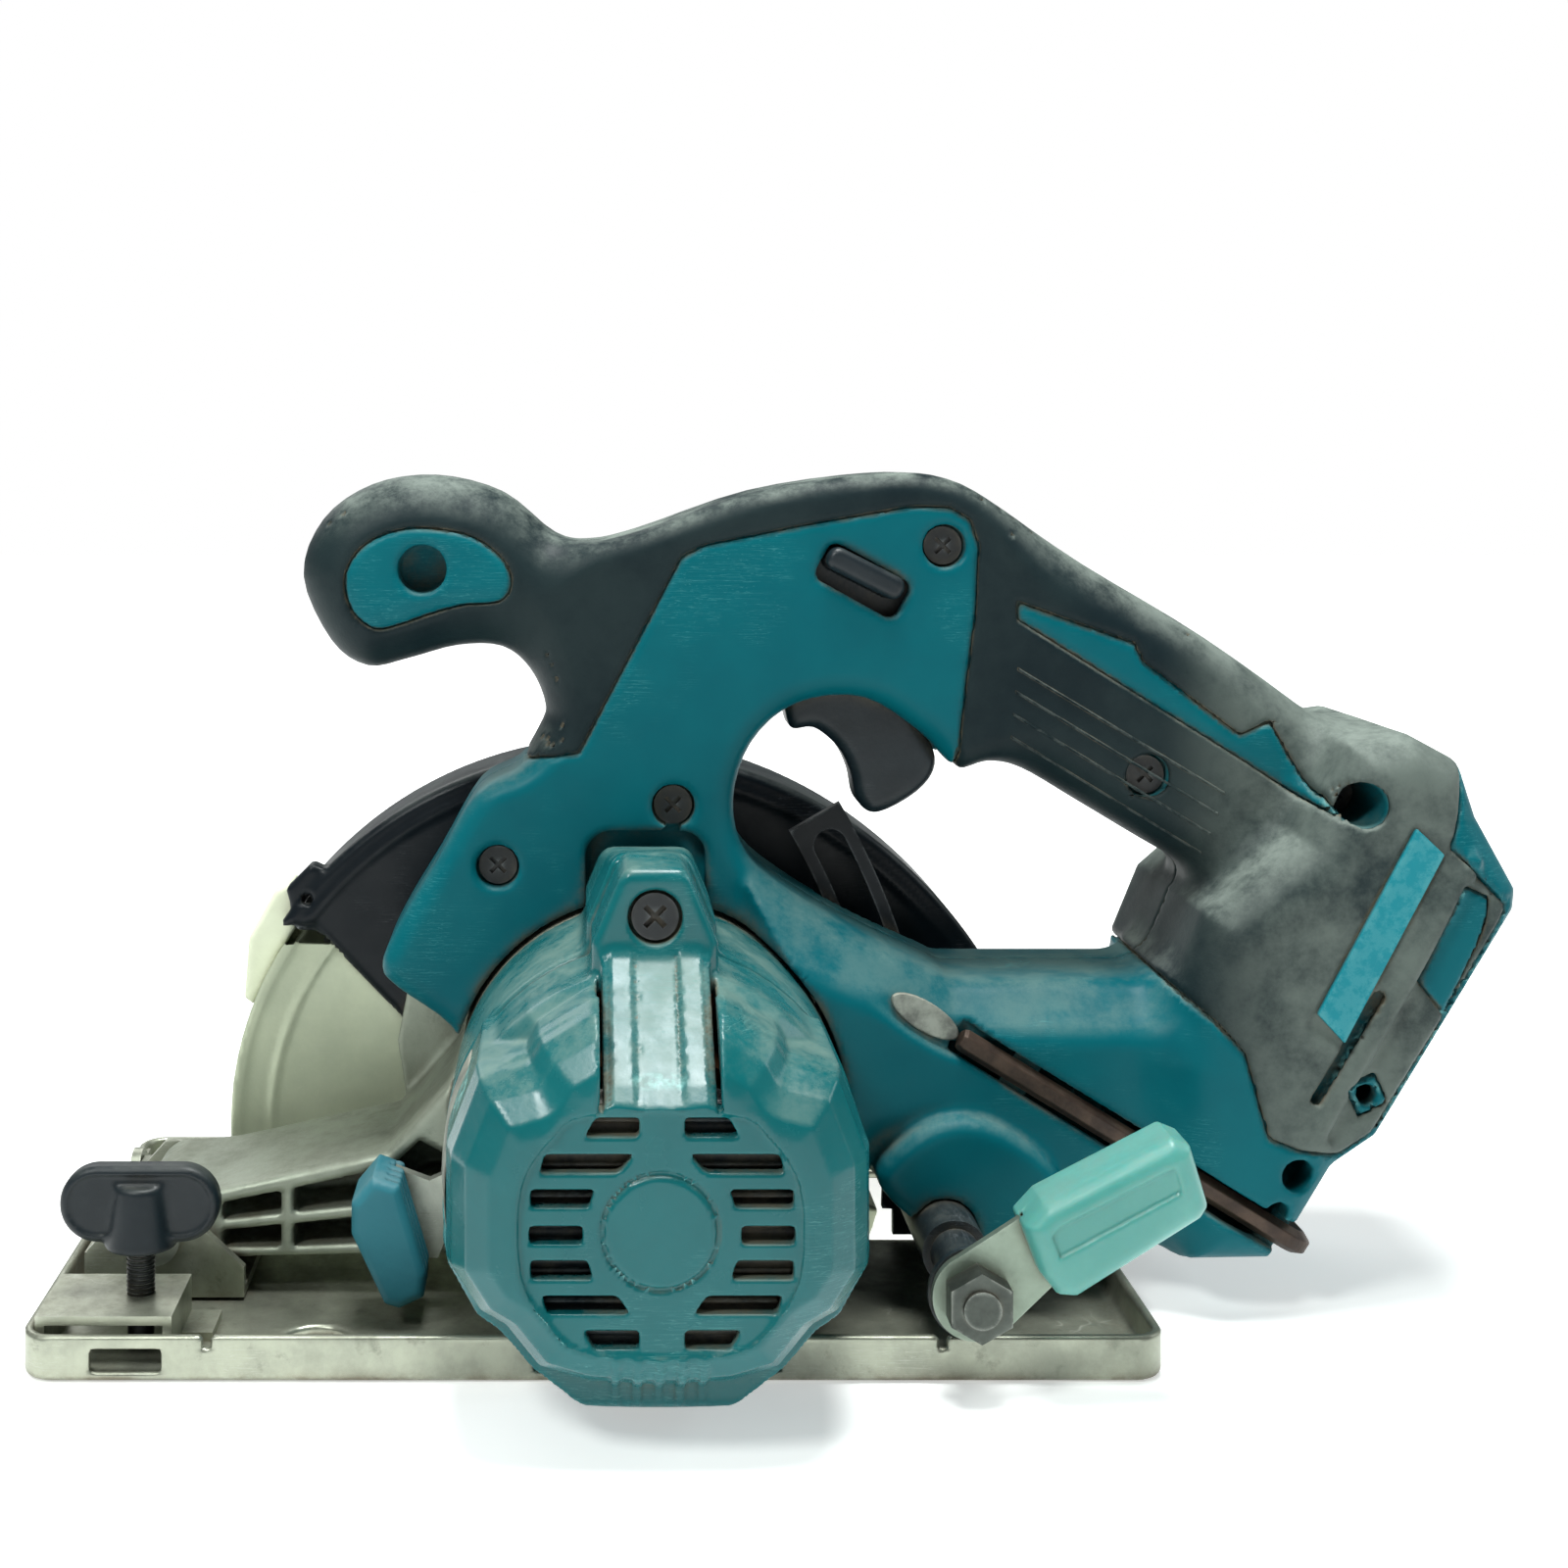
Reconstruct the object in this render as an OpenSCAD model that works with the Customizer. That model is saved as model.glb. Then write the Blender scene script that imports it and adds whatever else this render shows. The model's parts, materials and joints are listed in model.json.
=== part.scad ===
// Cordless circular saw, drawn standing at full cutting depth.
// Origin: centre of the sole. +X to the rear, +Y to the blade side, +Z up. Millimetres.

/* [Base] */
// Length of the base plate
base_l = 250; // [246:1:256]
// Width of the base plate
base_w = 140; // [138:1:146]
// Thickness of the pressed sheet
sheet_t = 2.2; // [1.6:0.1:2.4]
// Height of the upturned rim above the sole
rim_h = 10; // [8:0.5:11]

/* [Blade] */
// Outer diameter of the saw blade
blade_d = 165; // [150:1:165]
// Thickness of the blade
blade_t = 1.6; // [1.2:0.1:2]
// Place of the blade axis along the saw
blade_x = -8; // [-9:0.5:-7]
// Height of the blade axis above the sole
blade_z = 25.5; // [25:0.5:26]
// Place of the blade across the saw
blade_y = 42; // [41.5:0.5:42.5]

/* [Motor] */
// Teeth on the motor pinion
pinion_teeth = 16; // [16:1:16]
// Teeth on the drive gear
gear_teeth = 46; // [46:1:46]
// Place of the motor axis along the saw
motor_x = 13; // [12.5:0.5:13.5]
// Radius of the motor housing
motor_r = 46; // [45:0.5:46]
// Far end of the motor end cap, measured across the saw
cap_y = -115; // [-118:1:-112]

/* [Handle] */
// Half width of the handle
grip_half = 19; // [18:0.5:20]
// Half width of the battery foot
foot_half = 40; // [36:1:41]
// Thickness of the rubber overmould
skin_t = 2; // [1.5:0.1:2.4]
// Wall of the plastic shells
wall_t = 3; // [2.5:0.1:3.5]

/* [Motion] */
// Place of the depth pivot along the saw
pivot_x = -103; // [-104:0.5:-102]
// Height of the depth pivot
pivot_z = 17; // [16.5:0.5:17.5]
// Height of the bevel axis
bevel_z = 9; // [8.8:0.1:9.2]
// Running clearance of a shaft in its bore
run_gap = 0.05; // [0.03:0.01:0.08]

/* [Hidden] */
$fn = 64;
teal = [0.00, 0.42, 0.45];
dark = [0.13, 0.14, 0.14];
cast = [0.66, 0.67, 0.63];
zinc = [0.60, 0.60, 0.57];
// The gears have module 1, so the shaft distance is half the sum of the teeth
gear_gap = (pinion_teeth + gear_teeth) / 2;
motor_z = blade_z + sqrt(pow(gear_gap, 2) - pow(motor_x - blade_x, 2));
bolt_x = 81.8;
bolt_z = 21.6;
guide_r = norm([bolt_x - pivot_x, bolt_z - pivot_z]);
guide_a = atan2(bolt_z - pivot_z, bolt_x - pivot_x);
depth_a = 26;
// Height of the screw in the motor's lug
lug_z = 104;
fence_x = -102;
fence_y = -51;
trigger_x = 52;
trigger_z = 140;
// The hex wrench lies aslant across the boom
key_x = 86.3;
key_y = -32.2;
key_z = 64.9;
key_a = 31.4;
key_l = 97;

// ---- Helpers ----

// A flat outline in (x, z), stood up as a slab from y0 to y1
module slab(y0, y1) translate([0, y1, 0]) rotate([90, 0, 0]) linear_extrude(y1 - y0) children();

// A round bar along y
module bar_y(x, z, r, y0, y1) translate([x, y1, z]) rotate([90, 0, 0]) cylinder(r = r, h = y1 - y0);

// A hexagonal bar along y, given across its flats
module hex_y(x, z, flats, y0, y1)
    translate([x, y1, z]) rotate([90, 30, 0]) cylinder(r = flats / sqrt(3), h = y1 - y0, $fn = 6);

// A round bar along x
module bar_x(y, z, r, x0, x1) translate([x0, y, z]) rotate([0, 90, 0]) cylinder(r = r, h = x1 - x0);

// A ring along y
module ring_y(x, z, r_out, r_in, y0, y1) difference() {
    bar_y(x, z, r_out, y0, y1);
    bar_y(x, z, r_in, y0 - 1, y1 + 1);
}

// A smooth closed curve through points, with n steps between neighbours
function smooth(p, n = 2) = [for (i = [0 : len(p) - 1], k = [0 : n - 1])
    let (m = len(p), t = k / n, a = p[(i + m - 1) % m], b = p[i], c = p[(i + 1) % m], d = p[(i + 2) % m])
    0.5 * (2 * b + (c - a) * t + (2 * a - 5 * b + 4 * c - d) * t * t + (3 * b - a - 3 * c + d) * t * t * t)];

// A clockwise outline moved inwards by e
function inset(p, e) = [for (i = [0 : len(p) - 1])
    let (m = len(p), q = p[(i + 1) % m] - p[(i + m - 1) % m]) p[i] + e * [q.y, -q.x] / norm(q)];

// A sector of a disc from angle a0 to a1, used to trim rings
module wedge(r, a0, a1) polygon([[0, 0], for (i = [0 : 12]) let (a = a0 + (a1 - a0) * i / 12)
    1.05 * r * [cos(a), sin(a)]]);

// One flank angle of an involute tooth at radius r
function inv(r, rb) = let (t = sqrt(max(0, pow(r / rb, 2) - 1))) t * 180 / PI - atan(t);

// The outline of a gear of module 1
function gear(n, add, ded, slack) = let (rp = n / 2, rb = rp * cos(20),
        half = 90 / n - slack * 90 / PI / rp + inv(rp, rb), rs = [for (i = [0 : 4]) max(rb, rp - ded) +
        (rp + add - max(rb, rp - ded)) * i / 4])
    [for (t = [0 : n - 1]) let (c = 360 * t / n) each concat(
        [(rp - ded) * [cos(c - half), sin(c - half)]],
        [for (r = rs) let (a = c - half + inv(r, rb)) r * [cos(a), sin(a)]],
        [for (i = [4 : -1 : 0]) let (r = rs[i], a = c + half - inv(r, rb)) r * [cos(a), sin(a)]],
        [(rp - ded) * [cos(c + half), sin(c + half)]])];

// ---- Outlines, clockwise, in (x, z) ----

// Horn, handle and the web down to the motor
horn = smooth([[-71, 172], [-66, 186], [-54, 194.5], [-38.6, 196.8], [-22, 192.6], [-9, 182.4], [0, 180.6],
    [12, 183.3], [40, 192.8], [70, 197.2], [86, 196], [100, 188.6], [121, 174.7], [150, 157.2], [178, 137],
    [190, 126], [186, 112], [172, 99], [158, 95.6], [140, 104.6], [120, 116.4], [105, 125.2], [96, 127.4],
    [88, 126], [80, 134], [66, 142.7], [50, 141.4], [39, 132], [34.6, 118], [38, 105], [50, 95], [66, 85],
    [86, 72], [84, 52], [60, 34], [20, 26], [-24, 48], [-34, 63], [-47, 72.5], [-51, 78], [-47, 88], [-38, 103],
    [-28, 120], [-18, 126], [-13, 133.6], [-11.2, 140], [-15, 149], [-22, 154.6], [-33, 154.8], [-45, 151.6],
    [-55, 149.8], [-64, 156]]);
// Boom that carries the controller, below the hand
boom = [[38, 98], [50, 91], [86, 76.5], [140, 76.5], [153, 62], [163, 36], [158.5, 13.5], [131, 12.8], [118, 18],
    [97, 27], [92, 33.5], [82, 36], [72, 33.5], [60, 28], [50, 40], [36, 60]];
// Battery foot
foot = [[178, 134], [192, 136], [204, 129.5], [208, 117], [217.3, 100], [216.8, 95], [184.3, 41.6],
    [174, 34.6], [164.5, 19], [158.9, 12.9], [140, 12.6], [135, 30], [134, 60], [137, 77], [144, 94], [152, 101],
    [166, 112]];
// Where rubber covers the shells
rubber = [[-80, 205], [120, 205], [206, 140], [203, 118], [212, 98], [180, 45], [168, 36], [163, 38.6],
    [156, 43], [151, 63], [144, 70.6], [136, 77], [130, 82], [100, 116], [88, 122], [88, 128.4], [90, 146.4],
    [92.4, 165], [93, 184], [88, 188.8], [77, 189.2], [51, 184.7], [26, 179.4], [21.8, 177.2], [-2.9, 130],
    [-17, 127.5], [-24, 140], [-80, 140]];

// ---- Base ----

module base_outline(e) offset_rect(base_l - 2 * e, base_w - 2 * e, 7 - e);
module offset_rect(l, w, r) {
    square([l, w - 2 * r], center = true);
    square([l - 2 * r, w], center = true);
    for (i = [-1, 1], j = [-1, 1]) translate([i * (l / 2 - r), j * (w / 2 - r)]) circle(r);
}

module base_plate() color(zinc) difference() {
    union() {
        linear_extrude(sheet_t) base_outline(0);
        linear_extrude(rim_h) difference() {
            base_outline(0);
            base_outline(2);
        }
    }
    // Opening for the blade and its guards
    translate([-108, 11, -1]) cube([200, 53, 20]);
    translate([-31, -2, -1]) cube([46, 14, 20]);
    // Dip in the near rim under the motor, and the mouth of the rip fence slot with its twin beyond
    translate([-13, -base_w / 2 - 1, sheet_t]) cube([54, 6, 20]);
    translate([-109.5, -base_w / 2 - 1, sheet_t]) cube([15.5, 5, 5]);
    translate([-109.5, base_w / 2 - 3, sheet_t]) cube([15.5, 5, 5]);
    translate([-62.5, -52, -1]) cylinder(d = 15.5, h = 10);
    for (x = [-84, 36.5, 76]) translate([x, -base_w / 2 - 1, rim_h - 3]) cube([1.4, 5, 4]);
    for (p = rivet_places) translate([p.x, p.y, -1]) cylinder(r = 2, h = 10);
}

rivet_places = [[-113.4, 35], [-113.4, 49], [118, 30], [118, 54]];

module base_rivets() color(zinc) for (p = rivet_places) translate([p.x, p.y, 0.4]) {
    cylinder(r = 2, h = sheet_t + 1.6);
    translate([0, 0, sheet_t + 1.6]) cylinder(r1 = 3.4, r2 = 2.2, h = 1.4);
}

// Sheet bridge that the fence screw runs through
module fence_bracket() color(zinc) difference() {
    translate([-122.5, -65, sheet_t]) union() {
        translate([0, 0, 8.3]) cube([30, 25, 2]);
        translate([28, 0, 0]) cube([2, 25, 9]);
        translate([0, 0, 0]) cube([2, 25, 9]);
        translate([30, 12, 0]) cube([7, 13, 2]);
    }
    translate([fence_x, fence_y, 0]) cylinder(r = 3 + run_gap, h = 30);
}

module front_pivot_bracket() color(zinc) difference() {
    union() {
        translate([-122.5, 30, sheet_t]) cube([13, 24, 2]);
        translate([-122.5, 32, sheet_t]) cube([2.5, 20, 10]);
        bar_x(42, bevel_z, 6.5, -122.5, -120);
    }
    bar_x(42, bevel_z, 3 + run_gap, -124, -110);
    for (p = rivet_places) translate([p.x, p.y, 0]) cylinder(r = 2, h = 10);
}

// Upright plate at the rear with the bevel slot
module rear_quadrant() color(zinc) difference() {
    union() {
        translate([112, 24, sheet_t]) cube([10.5, 36, 2]);
        translate([112, 24, sheet_t]) cube([2.2, 36, 18]);
        intersection() {
            bar_x(42, bevel_z, 43, 112, 114.2);
            translate([112, 11, 12]) cube([2.2, 56, 50]);
        }
    }
    bar_x(42, bevel_z, 3 + run_gap, 110, 116);
    difference() {
        bar_x(42, bevel_z, 36 + 3.3, 111, 116);
        bar_x(42, bevel_z, 36 - 3.3, 110, 117);
        for (s = [-1, 1]) translate([113, 42, bevel_z]) rotate([s * 32, 0, 0]) translate([-5, s < 0 ? 0 : -80, -80])
            cube([10, 80, 160]);
    }
    for (s = [-1, 1]) translate([0, 42, bevel_z]) rotate([s * 32, 0, 0]) bar_x(0, 36, 3.3, 111, 116);
    for (p = rivet_places) translate([p.x, p.y, 0]) cylinder(r = 2, h = 10);
}

// ---- Rip fence screw ----

module fence_stud() color(dark) translate([fence_x, fence_y, 0]) {
    translate([0, 0, 3.4]) cylinder(r = 3, h = 21);
    for (z = [12.8 : 1 : 22]) translate([0, 0, z]) cylinder(r1 = 3, r2 = 3.25, h = 0.5);
}

module fence_knob() color(dark) translate([fence_x, fence_y, 0]) difference() {
    union() {
        translate([0, 0, 23]) cylinder(r1 = 7.6, r2 = 6.2, h = 10);
        for (s = [-1, 1]) translate([s * 9.4, 3, 33]) rotate([90, 0, 0]) cylinder(r = 8.7, h = 6);
        translate([-9.4, -3, 24.3]) cube([18.8, 6, 17.4]);
    }
    translate([0, 0, 20]) cylinder(r = 3, h = 4.4);
}

// ---- Bevel frame ----

module front_hinge_bracket() color(zinc) difference() {
    union() {
        for (y = [-29.5, 21]) slab(y, y + 2.5) polygon([[-119, 3], [-119, 14], [-110, 24], [-97, 24], [-82, 10],
            [-82, 3]]);
        translate([-119, -29.5, 3]) cube([37, 53, 2.2]);
        translate([-119.6, -29.5, 4.6]) cube([2.4, 71.5, 9]);
        bar_x(42, bevel_z, 4.4, -119.6, -117.2);
    }
    bar_y(pivot_x, pivot_z, 4, -40, 40);
    bar_x(42, bevel_z, 3, -124, -110);
    // Room for the blade guard
    translate([-107, 24, -1]) cube([40, 30, 40]);
}

module depth_pivot_pin() color(zinc) {
    bar_y(pivot_x, pivot_z, 4, -29.5, 23.5);
    bar_y(pivot_x, pivot_z, 6, -31.5, -29.5);
    bar_y(pivot_x, pivot_z, 6, 23.5, 25);
}

module arc_band(r_in, r_out, a0, a1) intersection() {
    difference() {
        circle(r_out, $fn = 180);
        circle(r_in, $fn = 180);
    }
    wedge(r_out, a0, a1);
}

// Slotted arc that the depth bolt runs in
module depth_guide() color(dark) difference() {
    union() {
        translate([pivot_x, 0, pivot_z]) slab(12, 14.5)
            arc_band(guide_r - 7.4, guide_r + 7.4, guide_a - 3.8, guide_a + depth_a + 2.6);
        slab(12, 14.5) polygon([[77, 3], [77, 12], [92, 16], [109, 14], [109, 3]]);
    }
    translate([pivot_x, 0, pivot_z]) slab(11, 16)
        arc_band(guide_r - 4.2, guide_r + 4.2, guide_a, guide_a + depth_a);
    for (a = [guide_a, guide_a + depth_a])
        bar_y(pivot_x + guide_r * cos(a), pivot_z + guide_r * sin(a), 4.2, 11, 16);
}

module rear_tilt_bracket() color(zinc) difference() {
    union() {
        translate([97, 14.5, 3]) cube([14.5, 21, 2.2]);
        translate([109.2, 12, 3.6]) cube([2.3, 30, 12]);
        bar_x(42, bevel_z, 6.2, 109.2, 111.5);
        slab_x(109.2, 111.5) polygon([[22, 14], [36, 9], [36, 24], [32.5, 45], [21.5, 45]]);
    }
    bar_x(42, bevel_z, 3, 108, 113);
    bar_x(26.9, 41.7, 3, 108, 113);
    // The guide passes here
    translate([80, 11.9, 2]) cube([29.2, 2.6, 20]);
}

// A flat outline in (y, z), stood up as a slab from x0 to x1
module slab_x(x0, x1) translate([x0, 0, 0]) rotate([90, 0, 90]) linear_extrude(x1 - x0) children();

module bevel_pins() color(zinc) {
    bar_x(42, bevel_z, 3, -122.7, -117.2);
    bar_x(42, bevel_z, 3, 109.2, 115.6);
}

module bevel_bolt() color(zinc) {
    bar_x(26.9, 41.7, 3, 109.2, 124);
    bar_x(26.9, 41.7, 5.5, 106.8, 109.2);
}

module bevel_lever() color(dark) difference() {
    union() {
        bar_x(26.9, 41.7, 8, 114.6, 121.6);
        slab_x(116.6, 120.6) polygon([[19.8, 44], [32.8, 46], [46, 42], [54, 38], [53, 33.5], [44, 35],
            [26.8, 34]]);
    }
    bar_x(26.9, 41.7, 3 + run_gap, 113, 125);
}

// ---- Gear case, guards and motor ----

module gear_housing() color(cast) difference() {
    union() {
        bar_y(motor_x, motor_z, motor_r - 0.2, -20, 20);
        bar_y(blade_x, blade_z, 31, 0, 20);
        // Plate against the guard, and the boss that the lower guard turns on
        slab(20, 28) circle_at(blade_x, blade_z, 34);
        slab(20, 26) polygon([[-50, 50], [-42, 90], [10, 104], [56, 84], [60, 40], [20, 14], [-44, 14]]);
        bar_y(blade_x, blade_z, 16, 28, 34);
        // Arm to the depth pivot
        slab(-25, 20) polygon([[-103, 9], [-103, 25], [-90, 26.4], [-49, 35.3], [-44, 40], [-28, 58], [-10, 30],
            [-18, 11.8], [-60, 11]]);
        bar_y(pivot_x, pivot_z, 8, -26, 20.5);
    }
    // Gear room and the two shafts' ways through it
    bar_y(motor_x, motor_z, motor_r - 4, -21, -4);
    bar_y(blade_x, blade_z, 24.7, 3, 17);
    bar_y(motor_x, motor_z, 9.7, 3, 17);
    bar_y(motor_x, motor_z, 11, -10, 0);
    bar_y(motor_x, motor_z, 5, -5, 5);
    bar_y(blade_x, blade_z, 8, 0, 4);
    bar_y(blade_x, blade_z, 13, 17, 26);
    bar_y(blade_x, blade_z, 8, 25, 40);
    bar_y(pivot_x, pivot_z, 4 + run_gap, -40, 40);
    // Ribbed pockets in the arm
    slab(-26, -8) {
        polygon([[-88, 19.5], [-88, 23.6], [-74, 26.4], [-74, 21]]);
        polygon([[-71, 21.2], [-71, 27], [-50, 31.6], [-50, 23.4]]);
        polygon([[-88, 13], [-88, 17], [-74, 18.4], [-74, 13]]);
        polygon([[-71, 13.2], [-71, 18.6], [-50, 20.8], [-50, 14]]);
        polygon([[-47, 24], [-47, 32.6], [-41, 38.4], [-33, 34]]);
    }
    ring_y(-38, 22, 9, 6, -26, -8);
    bar_y(-38, 22, 4, -26, -8);
    for (p = guard_screw_places) bar_y(p.x, p.y, 2, 10, 30);
    // The motor housing sits here, and the case ends flush with the sole
    bar_y(motor_x, motor_z, motor_r + 0.3, -30, -20);
    translate([-60, -30, -20]) cube([140, 70, 20.3]);
}

module circle_at(x, z, r) translate([x, z]) circle(r);

guard_screw_places = [[-38, 62], [44, 70], [-2, 96]];
guard_r = 90.5;
guard_grow = 30;

// Spiral outline of the upper guard, from angle a0 to a1 about the blade axis
function spiral(e, a0, a1) = [for (i = [0 : 40]) let (a = a0 + (a1 - a0) * i / 40,
    r = guard_r + guard_grow * pow(max(0, min(1, (150 - a) / 130)), 1.8) - e)
    [blade_x, blade_z] + r * [cos(a), sin(a)]];

module upper_guard() color(dark) difference() {
    slab(28, 57) polygon([each spiral(0, 142, 18), [104, 52], [98, 40], [96, 24], [90, 14], [30, 14], [-20, 44],
        [-43, 47]]);
    slab(30, 55) polygon([each spiral(2, 175, 20), [101.6, 52], [95.8, 40.6], [93.9, 26], [87.6, 14], [87.6, -20],
        [-60, -20]]);
    // Seat on the gear case, and the window over the blade bolt
    bar_y(blade_x, blade_z, 34, 20, 30.5);
    bar_y(blade_x, blade_z, 34, 50, 60);
    translate([-70, 54, -40]) cube([100, 10, 66]);
    slab(50, 60) polygon([[-100, -10], [-100, 60], [-42, 44], [0, 20], [60, 12], [60, -10]]);
    for (p = guard_screw_places) bar_y(p.x, p.y, 2, 20, 32);
}

module guard_screws() color(dark) for (p = guard_screw_places) {
    bar_y(p.x, p.y, 2, 17.4, 30);
    bar_y(p.x, p.y, 3, 30, 30.7);
}

module motor_housing() color(teal) difference() {
    union() {
        bar_y(motor_x, motor_z, motor_r, -62, -20);
        slab(-62, -20) polygon([[motor_x - 13, motor_z + 40], [motor_x - 11, 108], [motor_x - 7, 114],
            [motor_x + 7, 114], [motor_x + 11, 108], [motor_x + 13, motor_z + 40]]);
    }
    bar_y(motor_x, motor_z, motor_r - wall_t, -70, -24);
    bar_y(motor_x, motor_z, 30, -70, 0);
    bar_y(motor_x, lug_z, 2, -70, -30);
    translate([-60, -70, -5]) cube([150, 60, 9.2]);
}

// Turned outline of the end cap about the motor axis, as radius against y
module cap_turn(e, y_end) translate([motor_x, 0, motor_z]) rotate([-90, 0, 0]) rotate_extrude()
    polygon([[0, y_end], [29.5 - e, y_end], [31 - e, y_end + 1.6], [37 - e, y_end + 1.6], [41 - e, y_end + 7],
        [44 - e, y_end + 22], [motor_r - 0.3 - e, y_end + 40], [motor_r - 0.3 - e, -62], [0, -62]]);

vent_rows = [[-3, 3, 13.4], [-2, 4.5, 22.2], [-1, 12.5, 24.8], [0, 14.5, 25], [1, 12.5, 24.8], [2, 4.5, 22.2],
    [3, 3, 13.4]];

module motor_end_cap() color(teal) difference() {
    union() {
        cap_turn(0, cap_y);
        slab(-84, -62) polygon([[motor_x - 13, motor_z + 38], [motor_x - 10.5, 108], [motor_x - 6.5, 114.5],
            [motor_x + 6.5, 114.5], [motor_x + 10.5, 108], [motor_x + 13, motor_z + 38]]);
        slab(-108, -62) polygon([[motor_x - 11, motor_z + 30], [motor_x - 9, motor_z + 44.6],
            [motor_x + 9, motor_z + 44.6], [motor_x + 11, motor_z + 30]]);
    }
    difference() {
        cap_turn(wall_t, cap_y + wall_t);
        bar_y(motor_x, motor_z, 11.5, cap_y, -103);
    }
    bar_y(motor_x, motor_z, 9.5, -110, -60);
    translate([-60, -61.9, -5]) cube([150, 30, 150]);
    // Seven rows of paired cooling slots
    for (r = vent_rows, s = [-1, 1]) translate([motor_x + s * (r[1] + r[2]) / 2, cap_y, motor_z + 6.9 * r[0]])
        cube([r[2] - r[1], 9, 3.7], center = true);
    bar_y(motor_x, lug_z, 2, -90, -60);
    bar_y(motor_x, lug_z, 5.4, -90, -79);
    translate([-60, -130, -5]) cube([150, 80, 9.2]);
}

module cap_screws() color(dark) {
    bar_y(motor_x, lug_z, 2, -79, -40);
    difference() {
        bar_y(motor_x, lug_z, 5, -82.6, -79);
        for (a = [45, 135]) translate([motor_x, -82.6, lug_z]) rotate([0, a, 0]) cube([6, 3, 1.2], center = true);
    }
}

// ---- Shells and overmould ----

// Everything the two shells enclose, shrunk by e
module handle_mass(e) difference() {
    union() {
        slab(-grip_half - 1 + e, grip_half - e) polygon(inset(horn, e));
        slab(-34 + e, 24 - e) polygon(inset(boom, e));
        slab(-foot_half + e, foot_half - e) polygon(inset(foot, e));
    }
    // Ways for the motor, the gear case and the depth guide
    bar_y(motor_x, motor_z, motor_r + 0.3 + e, -60, 60);
    bar_y(blade_x, blade_z, 31.5 + e, -60, 60);
    // Notch round the bevel brackets
    bar_x(42, bevel_z, 45 + e, 109.6 - e, 116.4 + e);
    translate([94 - e, 17.4 - e, -5]) cube([32 + 2 * e, 20, 59 + e]);
    translate([pivot_x, 0, pivot_z]) slab(10.6 - e, 17 + e)
        arc_band(guide_r - 8.4 - e, guide_r + 8.4 + e, -10, 38);
    slab(17 - e, 60) polygon([[-60, 20], [-60, 104], [20, 118], [104, 80], [104, 20]]);
}

module rubber_zone() slab(-60, 60) polygon(rubber);

// Cavities for the trigger, the lock-off lever and the wiring way
module shell_ways() {
    slab(-8.4, 8.4) polygon([[44, 128], [44, 158], [88, 158], [88, 118]]);
    slab(-30, 30) polygon([[53.2, 173.6], [57, 180.4], [77.4, 170.2], [73.6, 161.4]]);
    for (p = screw_places) {
        bar_y(p.x, p.y, 2, -60, 60);
        bar_y(p.x, p.y, 5.2, -60, -14);
    }
    // Slot for the wrench across the boom
    translate([key_x, -45, key_z]) rotate([0, key_a, 0]) translate([-14, 0, -5.4]) cube([128, 16, 10.8]);
    bar_y(bolt_x, bolt_z, 7.6, -60, 60);
}

screw_places = [[84.9, 179.8], [19.7, 117.2], [-22.6, 102.6], [133.8, 124.5], [179.3, 120.3]];

module shell(side) color(teal) intersection() {
    difference() {
        union() {
            difference() {
                handle_mass(0);
                rubber_zone();
            }
            handle_mass(skin_t);
        }
        difference() {
            handle_mass(skin_t + wall_t);
            // Solid pillars around the screws, and a solid front corner
            for (p = screw_places) bar_y(p.x, p.y, 7.6, -60, 60);
            bar_y(-46, 78, 10, -60, 60);
        }
        shell_ways();
        horn_ways();
    }
    translate([-100, side < 0 ? -80 : 0, 0]) cube([400, 80, 260]);
}

module horn_ways() bar_y(-43, 172, 6, -60, -10);

module shell_left() shell(-1);
module shell_right() shell(1);

module overmould(side) color(dark) intersection() {
    difference() {
        handle_mass(0);
        handle_mass(skin_t);
        shell_ways();
        horn_ways();
    }
    rubber_zone();
    translate([-100, side < 0 ? -80 : 0, 0]) cube([400, 80, 260]);
}

module overmould_left() overmould(-1);
module overmould_right() overmould(1);

module housing_screws() color(dark) for (p = screw_places) {
    bar_y(p.x, p.y, 2, -14, 10);
    difference() {
        bar_y(p.x, p.y, 4.6, -16.4, -14);
        for (a = [45, 135]) translate([p.x, -16.4, p.y]) rotate([0, a, 0]) cube([5, 2.4, 1], center = true);
    }
}

// ---- Inside ----

module stator() color([0.5, 0.35, 0.2]) union() {
    ring_y(motor_x, motor_z, 30, 18.4, -96, -58);
    ring_y(motor_x, motor_z, motor_r - wall_t - 0.3, 28, -64, -60);
}

module controller_board() color([0.1, 0.35, 0.15]) translate([104, -18, 58]) rotate([0, 16, 0])
    cube([44, 22, 8]);

module switch_module() color([0.2, 0.2, 0.22]) slab(-8, 8) polygon([[96, 158], [96, 178], [112, 170],
    [124, 160], [118, 146]]);

module terminal_block() color([0.2, 0.2, 0.2]) translate([168, -24, 66]) rotate([0, -31, 0]) {
    cube([12, 48, 20]);
    for (y = [9, 33]) translate([12, y, 4]) cube([5, 1.2, 12]);
}

module motor_bearings() color(zinc) {
    ring_y(motor_x, motor_z, 9.5, 4 + run_gap, -110, -103);
    ring_y(motor_x, motor_z, 11, 4 + run_gap, -10, -4.5);
}

module spindle_bearings() color(zinc) {
    ring_y(blade_x, blade_z, 8, 5 + run_gap, 0, 3);
    ring_y(blade_x, blade_z, 13, 7 + run_gap, 17.2, 25);
}

// Lamp that lights the cut, in the front of the gear case plate
module work_lamp() color([0.9, 0.9, 0.85]) bar_y(-41, 70, 3, 17.3, 20);

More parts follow.
